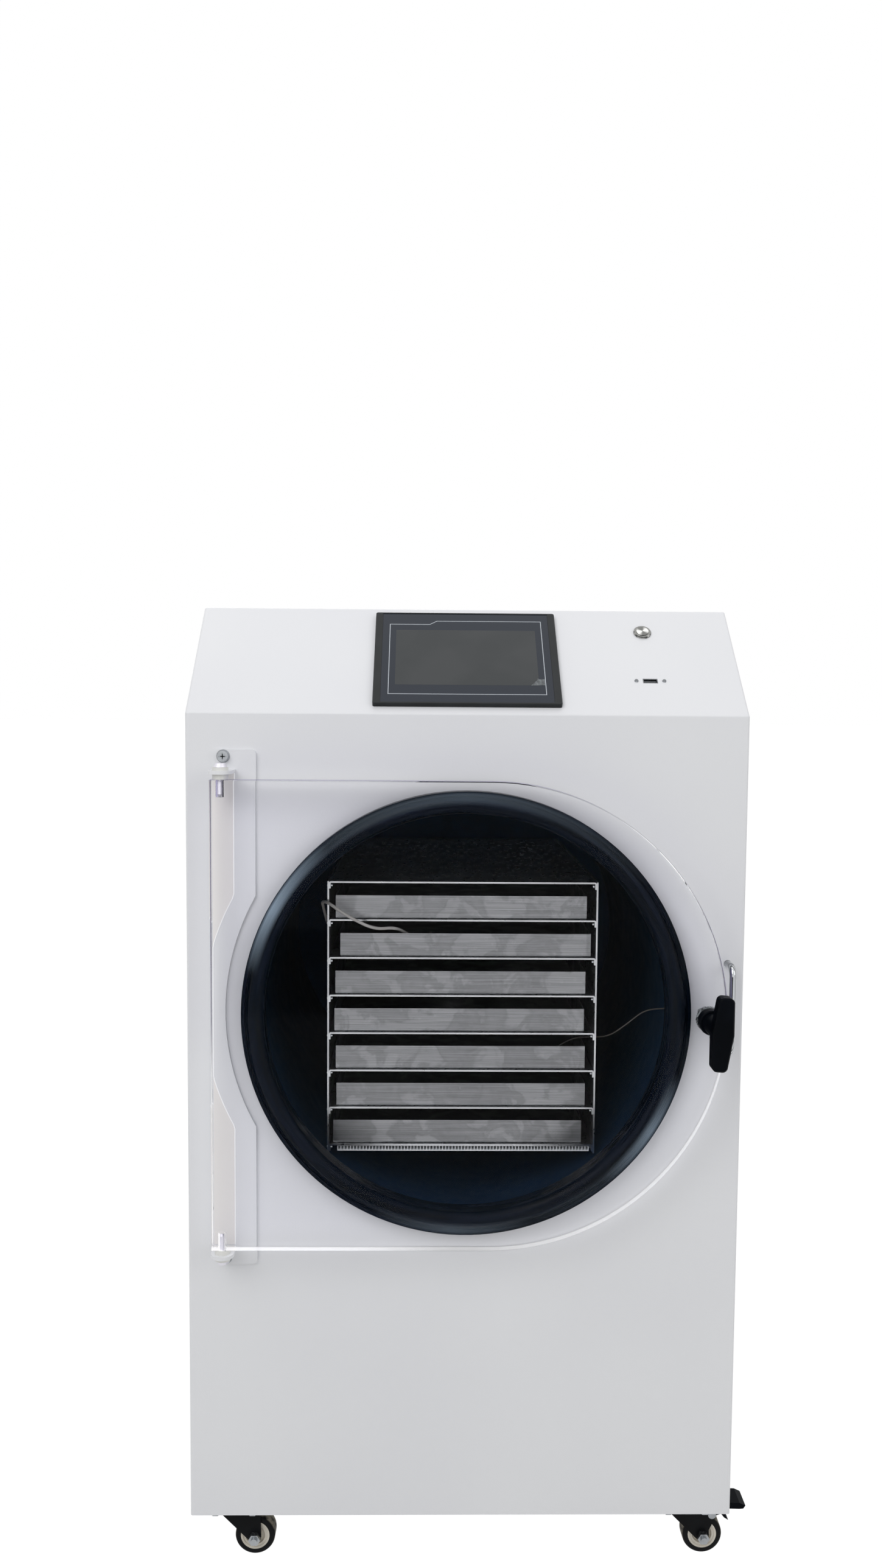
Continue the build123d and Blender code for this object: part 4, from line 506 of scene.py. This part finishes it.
streaks = add(tree, "TexNoise", {"Vector": drawn_out.outputs[0], "Scale": 1.0, "Detail": 3.0})
spread = {"Value": streaks.outputs[0], "From Min": 0.3, "From Max": 0.7}
gloss = add(tree, "MapRange", {**spread, "To Min": 0.18, "To Max": 0.34})
tree.links.new(gloss.outputs[0], shader.inputs["Roughness"])
# painted sheen: the streaks' lighter tone
tones = ((0.35, linear("#01050c")), (0.7, linear("#060f1e")))
colour = add(tree, "ValToRGB", {"Fac": streaks.outputs[0]}, stops=tones)
tree.links.new(colour.outputs[0], shader.inputs["Base Color"])
relief = add(tree, "Bump", {"Height": streaks.outputs[0], "Distance": 0.2 * MM, "Strength": 0.04})
tree.links.new(relief.outputs[0], shader.inputs["Normal"])
finishes["seal_rubber"] = material
print("gasket rubber ready")

# %% [markdown]
# A real gasket also mirrors the pale room in a broad soft band on its rounded skin. The lamps here are
# too soft to draw it, so the band is a painted reflection, a faint glow of the skin's own. One ramp
# says how strong it is round the ring, the other how strong it is across the skin, and the two are
# multiplied.

# %% Painted sheen on the gasket
# share of a turn, from the left side over the bottom, right and top back to the left, and strength
sheen_round = (
    (0.18, 0.0), (0.24, 0.16), (0.30, 0.02), (0.36, 0.04), (0.41, 0.42), (0.455, 0.0),
    (0.60, 0.0), (0.75, 0.17), (0.86, 0.08), (0.92, 0.75), (0.97, 0.0),
)
sheen_across = ((0.2, 0.0), (0.5, 0.8), (0.78, 1.0), (0.96, 0.0))
band_inside = 20 * MM       # the band lies between this far inside the rim
band_outside = 1 * MM       # and this far outside it
turn = add(tree, "MapRange", {"Value": angle.outputs[0], "From Min": -pi, "From Max": pi})
stops = [(at, grey(value)) for at, value in sheen_round]
round_ring = add(tree, "ValToRGB", {"Fac": turn.outputs[0]}, stops=stops)
rim = (gasket_high.x - gasket_low.x) / 2
band = {"Value": radius.outputs["Value"], "From Min": rim - band_inside, "From Max": rim + band_outside}
out = add(tree, "MapRange", band)
stops = [(at, grey(value)) for at, value in sheen_across]
across = add(tree, "ValToRGB", {"Fac": out.outputs[0]}, stops=stops)
painted_sheen = add(tree, "Math", {0: round_ring.outputs[0], 1: across.outputs[0]}, operation="MULTIPLY")
# painted reflection: the band glows a pale blue-grey
shader.inputs["Emission Color"].default_value = linear("#8fa0b0")
tree.links.new(painted_sheen.outputs[0], shader.inputs["Emission Strength"])
print("sheen ready, rim radius", round(rim, 4))

# %% [markdown]
# The tyres are matt rubber, greyed by dust where they roll. The tread is the part that doesn't face
# sideways, so the surface's own direction says where the dust lies.

# %% Tyre rubber
rubber, dusty = linear("#08090b"), linear("#a79f8e")
material, tree, shader, place = finish("tyre_rubber", "#08090b", 0.6)
shader.inputs["Specular IOR Level"].default_value = 0.12
facing = add(tree, "SeparateXYZ", {0: add(tree, "TexCoord", {}).outputs["Normal"]})
sideways = add(tree, "Math", {0: facing.outputs["Y"]}, operation="ABSOLUTE")
rolling = {"Value": sideways.outputs[0], "From Min": 0.75, "From Max": 0.15, "To Max": 0.9}
tread = add(tree, "MapRange", rolling)
scuffs = add(tree, "TexNoise", {"Vector": place, "Scale": per_mm(9), "Detail": 4.0})
worn = add(tree, "MapRange", {"Value": scuffs.outputs[0], "From Min": 0.38, "From Max": 0.58})
dust = add(tree, "Math", {0: tread.outputs[0], 1: worn.outputs[0]}, operation="MULTIPLY")
colour = add(tree, "Mix", {0: dust.outputs[0], 6: rubber, 7: dusty}, data_type="RGBA")
tree.links.new(colour.outputs[2], shader.inputs["Base Color"])
grit = add(tree, "TexNoise", {"Vector": place, "Scale": per_mm(1.2), "Detail": 2.0})
relief = add(tree, "Bump", {"Height": grit.outputs[0], "Distance": 0.15 * MM, "Strength": 0.3})
tree.links.new(relief.outputs[0], shader.inputs["Normal"])
finishes["tread_rubber"] = material
print("tyre rubber ready")

# %% [markdown]
# The door is one plate of cast acrylic, flame-polished on its edges. It refracts with an index of
# 1.49. Its Specular Tint is lowered, because the flat face should mirror only a little of the pale
# floor. Lamps and soft light pass straight through it, so that what is behind it stays lit.

# %% Cast acrylic
acrylic_index = 1.49
face_mirror = grey(0.05)
material, tree, shader, place = finish("cast_acrylic", "#fefeff", 0.0)
shader.inputs["Transmission Weight"].default_value = 1.0
shader.inputs["IOR"].default_value = acrylic_index
shader.inputs["Specular Tint"].default_value = face_mirror
haze = add(tree, "TexNoise", {"Vector": place, "Scale": per_mm(60), "Detail": 3.0})
spread = {"Value": haze.outputs[0], "From Min": 0.5, "From Max": 0.8}
gloss = add(tree, "MapRange", {**spread, "To Min": 0.0, "To Max": 0.03})
tree.links.new(gloss.outputs[0], shader.inputs["Roughness"])
lit = any_ray(tree, "Shadow", "Diffuse")
clear = add(tree, "BsdfTransparent", {"Color": linear("#fdfdff")})
both = add(tree, "MixShader", {0: lit, 1: shader.outputs[0], 2: clear.outputs[0]})
tree.links.new(both.outputs[0], tree.nodes["Material Output"].inputs["Surface"])
finishes["clear_acrylic"] = material
print("acrylic ready, index", acrylic_index)

# %% [markdown]
# The touch screen's face is glass with a hard coat over black-blue print. Only its gloss varies, where
# a cloth has wiped it.

# %% Screen glass
material, tree, shader, place = finish("hard_coated_screen", "#101b2a", 0.12)
shader.inputs["Specular IOR Level"].default_value = 0.3
wipes = add(tree, "TexNoise", {"Vector": place, "Scale": per_mm(45), "Detail": 3.0})
gloss = add(tree, "MapRange", {"Value": wipes.outputs[0], "To Min": 0.10, "To Max": 0.22})
tree.links.new(gloss.outputs[0], shader.inputs["Roughness"])
finishes["screen_glass"] = material
print("screen glass ready")

# %% [markdown]
# The board under the rack is extruded polypropylene with hollow cells. Light goes a few millimetres
# into it, which a little subsurface scattering shows as a milky white.

# %% Twin-wall board
scatter_reach = 4 * MM
material, tree, shader, place = finish("twin_wall_polypropylene", "#f1f4f5", 0.45)
shader.inputs["Subsurface Weight"].default_value = 0.15
shader.inputs["Subsurface Radius"].default_value = (scatter_reach,) * 3
cloud = add(tree, "TexNoise", {"Vector": place, "Scale": per_mm(12), "Detail": 3.0})
tones = ((0.35, linear("#e9edee")), (0.65, linear("#f6f8f8")))
colour = add(tree, "ValToRGB", {"Fac": cloud.outputs[0]}, stops=tones)
tree.links.new(colour.outputs[0], shader.inputs["Base Color"])
finishes["twin_wall_plastic"] = material
print("finishes ready:", len(finishes))

# %% [markdown]
# Each solid part carries the name of its finish in the record, so one loop dresses them all.

# %% Dress the solid parts
for part in frame["record"]["subparts"]:
    mesh = nodes[part["node"]].data
    mesh.materials.clear()
    mesh.materials.append(finishes[part["material_slot"]])

# %% [markdown]
# Two small parts differ from their neighbours of the same metal. The button's cap is turned across
# its face, and turned metal mirrors bright and dark wedges that run out from its middle. Here these
# wedges are painted into the colour, as a painted reflection. A sine over twice the angle round the
# cap gives two bright and two dark ones.

# %% Turned button cap with painted reflection
wedges = 2.0
wedge_turn = 0.9            # radians that set where the first wedge lies
cap_middle = sum(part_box("button_cap"), Vector()) / 2
material, tree, shader, place = finish("turned_cap_painted_reflection", "#9a9a98", 0.3, metallic=1.0)
centred = add(tree, "VectorMath", {0: place, 1: cap_middle}, operation="SUBTRACT")
across = add(tree, "VectorMath", {0: centred.outputs[0], 1: slope_right}, operation="DOT_PRODUCT")
along = add(tree, "VectorMath", {0: centred.outputs[0], 1: slope_up}, operation="DOT_PRODUCT")
angle = add(tree, "Math", {0: along.outputs["Value"], 1: across.outputs["Value"]}, operation="ARCTAN2")
turned = add(tree, "Math", {0: angle.outputs[0], 1: wedges, 2: wedge_turn}, operation="MULTIPLY_ADD")
wedge = add(tree, "Math", {0: turned.outputs[0]}, operation="SINE")
share = add(tree, "MapRange", {"Value": wedge.outputs[0], "From Min": -1.0, "From Max": 1.0})
# painted reflection: the wedges lighten and darken the base colour
tones = ((0.2, linear("#6b6b69")), (0.9, linear("#d2d2cf")))
colour = add(tree, "ValToRGB", {"Fac": share.outputs[0]}, stops=tones)
tree.links.new(colour.outputs[0], shader.inputs["Base Color"])
grain = add(tree, "TexNoise", {"Vector": place, "Scale": per_mm(0.6), "Detail": 2.0})
gloss = add(tree, "MapRange", {"Value": grain.outputs[0], "To Min": 0.24, "To Max": 0.38})
tree.links.new(gloss.outputs[0], shader.inputs["Roughness"])
nodes["button_cap"].data.materials[0] = material
print("cap dressed, middle at", [round(v, 3) for v in cap_middle])

# %% [markdown]
# The pivot screws carry a thread. It is too fine to be worth its faces, so a wave along the screw
# tilts the shading. A wave of scale 1 repeats every pi / 10 units, which turns a pitch into a scale.

# %% Threaded pivot screws
pitch_mm = 1.25
wave_repeat = pi / 10
material, tree, shader, place = finish("threaded_zinc_plate", "#e4e2ea", 0.42, metallic=0.7)
threads = {"Vector": place, "Scale": wave_repeat * per_mm(pitch_mm)}
wave = add(tree, "TexWave", threads, bands_direction="Z")
relief = add(tree, "Bump", {"Height": wave.outputs[0], "Distance": 0.3 * MM, "Strength": 0.5})
tree.links.new(relief.outputs[0], shader.inputs["Normal"])
patches = add(tree, "TexNoise", {"Vector": place, "Scale": per_mm(2), "Detail": 3.0})
gloss = add(tree, "MapRange", {"Value": patches.outputs[0], "To Min": 0.3, "To Max": 0.5})
tree.links.new(gloss.outputs[0], shader.inputs["Roughness"])
nodes["pivot_screws"].data.materials[0] = material
print("pivot screws dressed, pitch in mm", pitch_mm)

# %% [markdown]
# ## Pieces that ride on the bodies
# Every piece from here on is built as a bmesh in the machine's own place and then rides on one body,
# so that it follows that body's joint.


# %% Helper: keep a piece
def keep(mesh, name, body, material):
    """Turn a finished bmesh into a piece that rides on a body and wears a material."""
    data = bpy.data.meshes.new(name)
    mesh.normal_update()
    mesh.to_mesh(data)
    mesh.free()
    data.materials.append(material)
    piece = bpy.data.objects.new(name, data)
    bpy.context.scene.collection.objects.link(piece)
    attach(piece, body)
    print(name, len(data.polygons), "faces")
    return piece


# %% [markdown]
# Some solid parts wear two finishes: the door's edge is polished differently from its faces and is
# painted with light, and the caster forks are black while the bolts through them are bright zinc. A
# copy of the part, with its doubled corners merged, takes the second finish on the chosen faces and
# stands in for the part.


# %% Helper: a copy with a second finish
merge_gap = 0.001 * MM
sharp_turn = radians(30)


def two_finishes(node, body, slot, second, chosen):
    """Replace a solid part by a copy whose chosen faces wear a second finish."""
    mesh = bmesh.new()
    mesh.from_mesh(nodes[node].data)
    bmesh.ops.remove_doubles(mesh, verts=mesh.verts, dist=merge_gap)
    for face in mesh.faces:
        face.smooth = True
        face.material_index = int(chosen(face.normal, face.calc_center_median()))
    for edge in mesh.edges:
        edge.smooth = edge.calc_face_angle(0) < sharp_turn
    piece = keep(mesh, node + "_dressed", body, finishes[slot])
    piece.data.materials.append(second)
    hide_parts(node)
    return piece


print("helpers ready")

# %% [markdown]
# The door's edge is painted by height. Its lower half is painted white and glows faintly of its own,
# a painted highlight for light that the sheet carries to its edge, and its upper half is painted a
# faint violet. First the outer edge has to be told from the holes and the flat sides: it is straight
# at the left, at the top and at the bottom, and a half circle at the right.

# %% Outline of the door
door_low, door_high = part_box("door_panel")
arc_radius = (door_high.z - door_low.z) / 2
arc_middle = Vector((door_high.x - arc_radius, 0, (door_low.z + door_high.z) / 2))


def on_outline(normal, centre):
    """Whether a face belongs to the door's outer edge and not to a hole or a flat side."""
    if abs(normal.y) > 0.5:
        return False
    arm = Vector((centre.x - arc_middle.x, 0, centre.z - arc_middle.z))
    straight = centre.x < door_low.x + MM or abs(arm.z) > arc_radius - 0.5 * MM
    return straight or (arm.x > 0 and arm.length > arc_radius - MM)


print("door arc radius", round(arc_radius, 4))

# %% Door edge with painted glow
# painted light: the edge turns from violet to white below these heights, and glows faintly there
violet, white = linear("#b3add6"), linear("#ffffff")
painted_glow_starts, painted_glow_full = 0.70, 0.64         # heights in metres between which the cast fades to white
painted_edge_glow = 0.3
material, tree, shader, place = finish("flame_polished_edge_painted_glow", "#ffffff", 0.18)
shader.inputs["Transmission Weight"].default_value = 0.45
shader.inputs["IOR"].default_value = acrylic_index
shader.inputs["Specular Tint"].default_value = face_mirror
height = add(tree, "SeparateXYZ", {0: place})
fade = {"Value": height.outputs["Z"], "From Min": painted_glow_starts, "From Max": painted_glow_full}
painted_lower_half = add(tree, "MapRange", fade)
cast = add(tree, "Mix", {0: painted_lower_half.outputs[0], 6: violet, 7: white}, data_type="RGBA")
tree.links.new(cast.outputs[2], shader.inputs["Base Color"])
shader.inputs["Emission Color"].default_value = white
painted_glow_strength = add(tree, "Math", {0: painted_lower_half.outputs[0], 1: painted_edge_glow}, operation="MULTIPLY")
tree.links.new(painted_glow_strength.outputs[0], shader.inputs["Emission Strength"])
two_finishes("door_panel", "door", "clear_acrylic", material, on_outline)

# %% [markdown]
# The axle bolts and the brake's pivot pin are bright zinc. They are told from the fork by their
# distance from the axle or the pin, and by standing outside the fork's legs.

# %% Zinc bolts in the black forks
nut_reach = 7.8 * MM        # half a nut across its corners, with a little room
pin_reach = 5.2 * MM        # the same for the brake's pin
leg_outside = 13.9 * MM     # wheel's middle to the outside of a fork leg, with a little room
pin_middle = Vector(joints["brake_press"]["pos_m"])
for corner in ("front_left", "front_right", "rear_left", "rear_right"):
    low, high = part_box(f"caster_{corner}_tyre")
    axle = (low + high) / 2

    def is_bolt(normal, centre, axle=axle, braked=corner == "front_right"):
        """Whether a face belongs to the axle bolt or the brake pin."""
        if abs(centre.y - axle.y) < leg_outside:
            return False
        near_axle = Vector((centre.x - axle.x, centre.z - axle.z)).length < nut_reach
        near_pin = Vector((centre.x - pin_middle.x, centre.z - pin_middle.z)).length < pin_reach
        return near_axle or (braked and near_pin)

    zinc = finishes["zinc_steel"]
    two_finishes(f"caster_{corner}_fork", f"{corner}_fork", "black_paint", zinc, is_bolt)

# %% [markdown]
# ## Fine pieces on the hinge
# A thin leaf lies on the strap between its two lugs. Its right edge follows the strap's own edge,
# which bows round the gasket, and a light bead of powder coat stands along it. Both are strips whose
# left and right edges are given height by height, so one helper makes them: it sets a ring of four
# corners at each height and joins every ring to the next.

# %% Measures of the hinge leaf
strap_low, strap_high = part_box("hinge_strap")
strap_face = strap_high.y - 4 * MM      # the strap's plate is 4 mm thick
strap_bow = 287 * MM                    # chamber's axis to the strap's bowed edge
leaf_step = 25 * MM                     # strap's right edge to the leaf's
leaf_inset = 0.3 * MM                   # strap's left edge to the leaf's
leaf_reach = 285 * MM                   # chamber's axis to the leaf's ends, at the lugs
leaf_thickness = 0.4 * MM
bead_thickness = 0.6 * MM
bead_width = 0.9 * MM


def leaf_edge(rise):
    """How far right the leaf reaches at a height above the chamber's axis."""
    bowed = chamber_middle.x - (strap_bow ** 2 - rise ** 2) ** 0.5
    return max(min(strap_high.x, bowed) - leaf_step, strap_low.x + bead_width)


print("leaf", round(2 * leaf_reach, 3), "m high, middle at x", round(leaf_edge(0), 3))


# %% Helper: a strip with curved edges
strip_steps = 96


def leaf_strip(left, right, thickness):
    """A strip on the strap between two edges, each given as a reach at a height."""
    mesh = bmesh.new()
    rises = [leaf_reach * (2 * step / strip_steps - 1) for step in range(strip_steps + 1)]
    front, back = strap_face - thickness, strap_face
    rows = []
    for rise in rises:
        height = chamber_middle.z + rise
        corners = ((left(rise), front), (right(rise), front), (right(rise), back), (left(rise), back))
        rows.append([mesh.verts.new((x, y, height)) for x, y in corners])
    for below, above in zip(rows, rows[1:]):
        for side in range(4):
            following = (side + 1) % 4
            mesh.faces.new((below[side], below[following], above[following], above[side]))
    mesh.faces.new(rows[0])
    mesh.faces.new(rows[-1])
    bmesh.ops.recalc_face_normals(mesh, faces=mesh.faces)
    return mesh


print("strips have", strip_steps, "steps")

# %% [markdown]
# Both wear the cabinet's powder coat. The leaf's coat is painted a shade warmer and lighter than the
# panels, a painted highlight, and the bead is given a faint glow of its own, a painted highlight for
# the light that so narrow a ridge catches.

# %% Hinge leaf with a painted highlight
leaf = leaf_strip(lambda rise: strap_low.x + leaf_inset, leaf_edge, leaf_thickness)
painted_leaf_coat = finishes["white_powder"].copy()
painted_leaf_coat.name = "powder_coat_painted_highlight"
# painted highlight: warmer, lighter tones than the panels
painted_leaf_tones = painted_leaf_coat.node_tree.nodes["Color Ramp"].color_ramp.elements
painted_leaf_tones[0].color = linear("#efecea")
painted_leaf_tones[1].color = linear("#f5f2f0")
keep(leaf, "hinge_leaf", "cabinet", painted_leaf_coat)

# %% Bead along the leaf, with a painted highlight
painted_bead_glow = 0.26
painted_bead_coat = finishes["white_powder"].copy()
painted_bead_coat.name = "powder_coat_bead_painted_highlight"
bead_shader = painted_bead_coat.node_tree.nodes["Principled BSDF"]
# painted highlight: a faint white glow
bead_shader.inputs["Emission Color"].default_value = white
bead_shader.inputs["Emission Strength"].default_value = painted_bead_glow
bead = leaf_strip(lambda rise: leaf_edge(rise) - bead_width, leaf_edge, bead_thickness)
keep(bead, "hinge_leaf_bead", "cabinet", painted_bead_coat)

# %% [markdown]
# The strap's two screws have a cross recess with shade inside it. Two thin dark bars laid across each
# other on the head paint that shade, in the colour of metal in deep shade.

# %% Painted shade bars for the cross recesses of the strap's screws
recess_arm = 5.4 * MM
recess_wide = 1.3 * MM
recess_bar = 0.5 * MM                   # the bars' thickness
recess_sunk = 0.2 * MM                  # head's face to the bars' middle
screw_inset = 12.4 * MM                 # strap's left edge to its screws
screw_end = 8.2 * MM                    # strap's end to its screws
screw_front = strap_face - 5 * MM       # the heads stand 5 mm proud
recess = bmesh.new()
for height in (strap_low.z + screw_end, strap_high.z - screw_end):
    for wide, tall in ((recess_arm, recess_wide), (recess_wide, recess_arm)):
        grown = bmesh.ops.create_cube(recess, size=1.0)["verts"]
        bmesh.ops.scale(recess, vec=(wide, recess_bar, tall), verts=grown)
        spot = (strap_low.x + screw_inset, screw_front + recess_sunk, height)
        bmesh.ops.translate(recess, vec=spot, verts=grown)
print("bars:", len(recess.verts) // 8)

# %% Painted shade in the recesses
# painted shade: dark grey metal for the shade inside the recesses
material, tree, shader, place = finish("shaded_recess", "#1c1e20", 0.5, metallic=0.6)
grit = add(tree, "TexNoise", {"Vector": place, "Scale": per_mm(1.5), "Detail": 2.0})
gloss = add(tree, "MapRange", {"Value": grit.outputs[0], "To Min": 0.4, "To Max": 0.6})
tree.links.new(gloss.outputs[0], shader.inputs["Roughness"])
keep(recess, "strap_screw_painted_recess_shade", "cabinet", material)

# %% [markdown]
# ## Fine pieces on the screen
# A switched-off display is a shade warmer and lighter than the black-blue border printed round it,
# and a hair-thin silver line is printed on that border. Both are print under the glass, so each is a
# plate only a twentieth of a millimetre thick. Their corners are given as shares of the glass.


# %% Helpers: flat plates on the slope
glass_left, glass_right = reach("touchscreen_glass", slope_right)
glass_bottom, glass_top = reach("touchscreen_glass", slope_up)
glass_face = reach("touchscreen_glass", slope_out)[1]


def on_glass(across, down, lift=0.0):
    """A point on the glass, from its top left corner, as shares of its width and height."""
    right = glass_left + across * (glass_right - glass_left)
    up = glass_top - down * (glass_top - glass_bottom)
    return slope_right * right + slope_up * up + slope_out * (glass_face + lift)


def thicken(mesh, thickness):
    """Give a flat bmesh on the glass a thickness, away from the slope."""
    grown = bmesh.ops.extrude_face_region(mesh, geom=list(mesh.faces))["geom"]
    top = [item for item in grown if isinstance(item, bmesh.types.BMVert)]
    bmesh.ops.translate(mesh, verts=top, vec=slope_out * thickness)
    bmesh.ops.recalc_face_normals(mesh, faces=mesh.faces)


def plate(corners, thickness, lift=0.0):
    """A flat plate on the glass with the given outline, as a bmesh."""
    mesh = bmesh.new()
    mesh.faces.new([mesh.verts.new(on_glass(x, y, lift)) for x, y in corners])
    thicken(mesh, thickness)
    return mesh


print("glass", round(glass_right - glass_left, 4), "x", round(glass_top - glass_bottom, 4))

# %% Display window
print_thickness = 0.05 * MM
left, right, top, bottom = 0.082, 0.918, 0.192, 0.813
display = plate(((left, top), (right, top), (right, bottom), (left, bottom)), print_thickness)
material, tree, shader, place = finish("display_behind_film", "#2c2f31", 0.2)
shader.inputs["Specular IOR Level"].default_value = 0.3
grain = add(tree, "TexNoise", {"Vector": place, "Scale": per_mm(70), "Detail": 2.0})
tones = ((0.4, linear("#2d3133")), (0.6, linear("#343739")))
colour = add(tree, "ValToRGB", {"Fac": grain.outputs[0]}, stops=tones)
tree.links.new(colour.outputs[0], shader.inputs["Base Color"])
keep(display, "display_window", "cabinet", material)

# %% [markdown]
# The printed line runs round the border and steps down at the upper left. It starts as one face with
# that outline. An inset leaves a narrow frame round the face, and the face itself is then deleted.

# %% Printed line
line_width = 0.9 * MM
outline = (
    (0.042, 0.122), (0.283, 0.122), (0.327, 0.082), (0.959, 0.082), (0.959, 0.9155), (0.042, 0.9155),
)
line = bmesh.new()
face = line.faces.new([line.verts.new(on_glass(x, y)) for x, y in outline])
line.normal_update()        # the inset needs to know which way the face looks
bmesh.ops.inset_individual(line, faces=[face], thickness=line_width, use_even_offset=True)
bmesh.ops.delete(line, geom=[face], context="FACES_ONLY")
thicken(line, print_thickness)
material, tree, shader, place = finish("printed_silver_line", "#b4bac2", 0.35)
flecks = add(tree, "TexNoise", {"Vector": place, "Scale": per_mm(3), "Detail": 2.0})
gloss = add(tree, "MapRange", {"Value": flecks.outputs[0], "To Min": 0.3, "To Max": 0.45})
tree.links.new(gloss.outputs[0], shader.inputs["Roughness"])
keep(line, "screen_outline", "cabinet", material)

# %% [markdown]
# A new screen still wears its protective film, and the film's lower right corner has lifted. It is a
# small plate with an uneven outline, a tenth of a millimetre above the glass. The film is clear, and
# its opaque grey is a painted reflection of the light that the lifted corner catches.

# %% Lifted film corner, with a painted reflection
film = 0.1 * MM             # thickness, and height above the glass
outline = (
    (0.871, 0.815), (0.909, 0.755), (0.914, 0.732), (0.918, 0.746), (0.954, 0.745), (0.953, 0.810),
)
tab = plate(outline, film, lift=film)
material, tree, shader, place = finish("lifted_film_painted_reflection", "#6d7377", 0.3)
creases = add(tree, "TexNoise", {"Vector": place, "Scale": per_mm(4), "Detail": 2.0})
tones = ((0.4, linear("#3c4144")), (0.62, linear("#666c70")))
colour = add(tree, "ValToRGB", {"Fac": creases.outputs[0]}, stops=tones)
tree.links.new(colour.outputs[0], shader.inputs["Base Color"])
keep(tab, "film_tab", "cabinet", material)
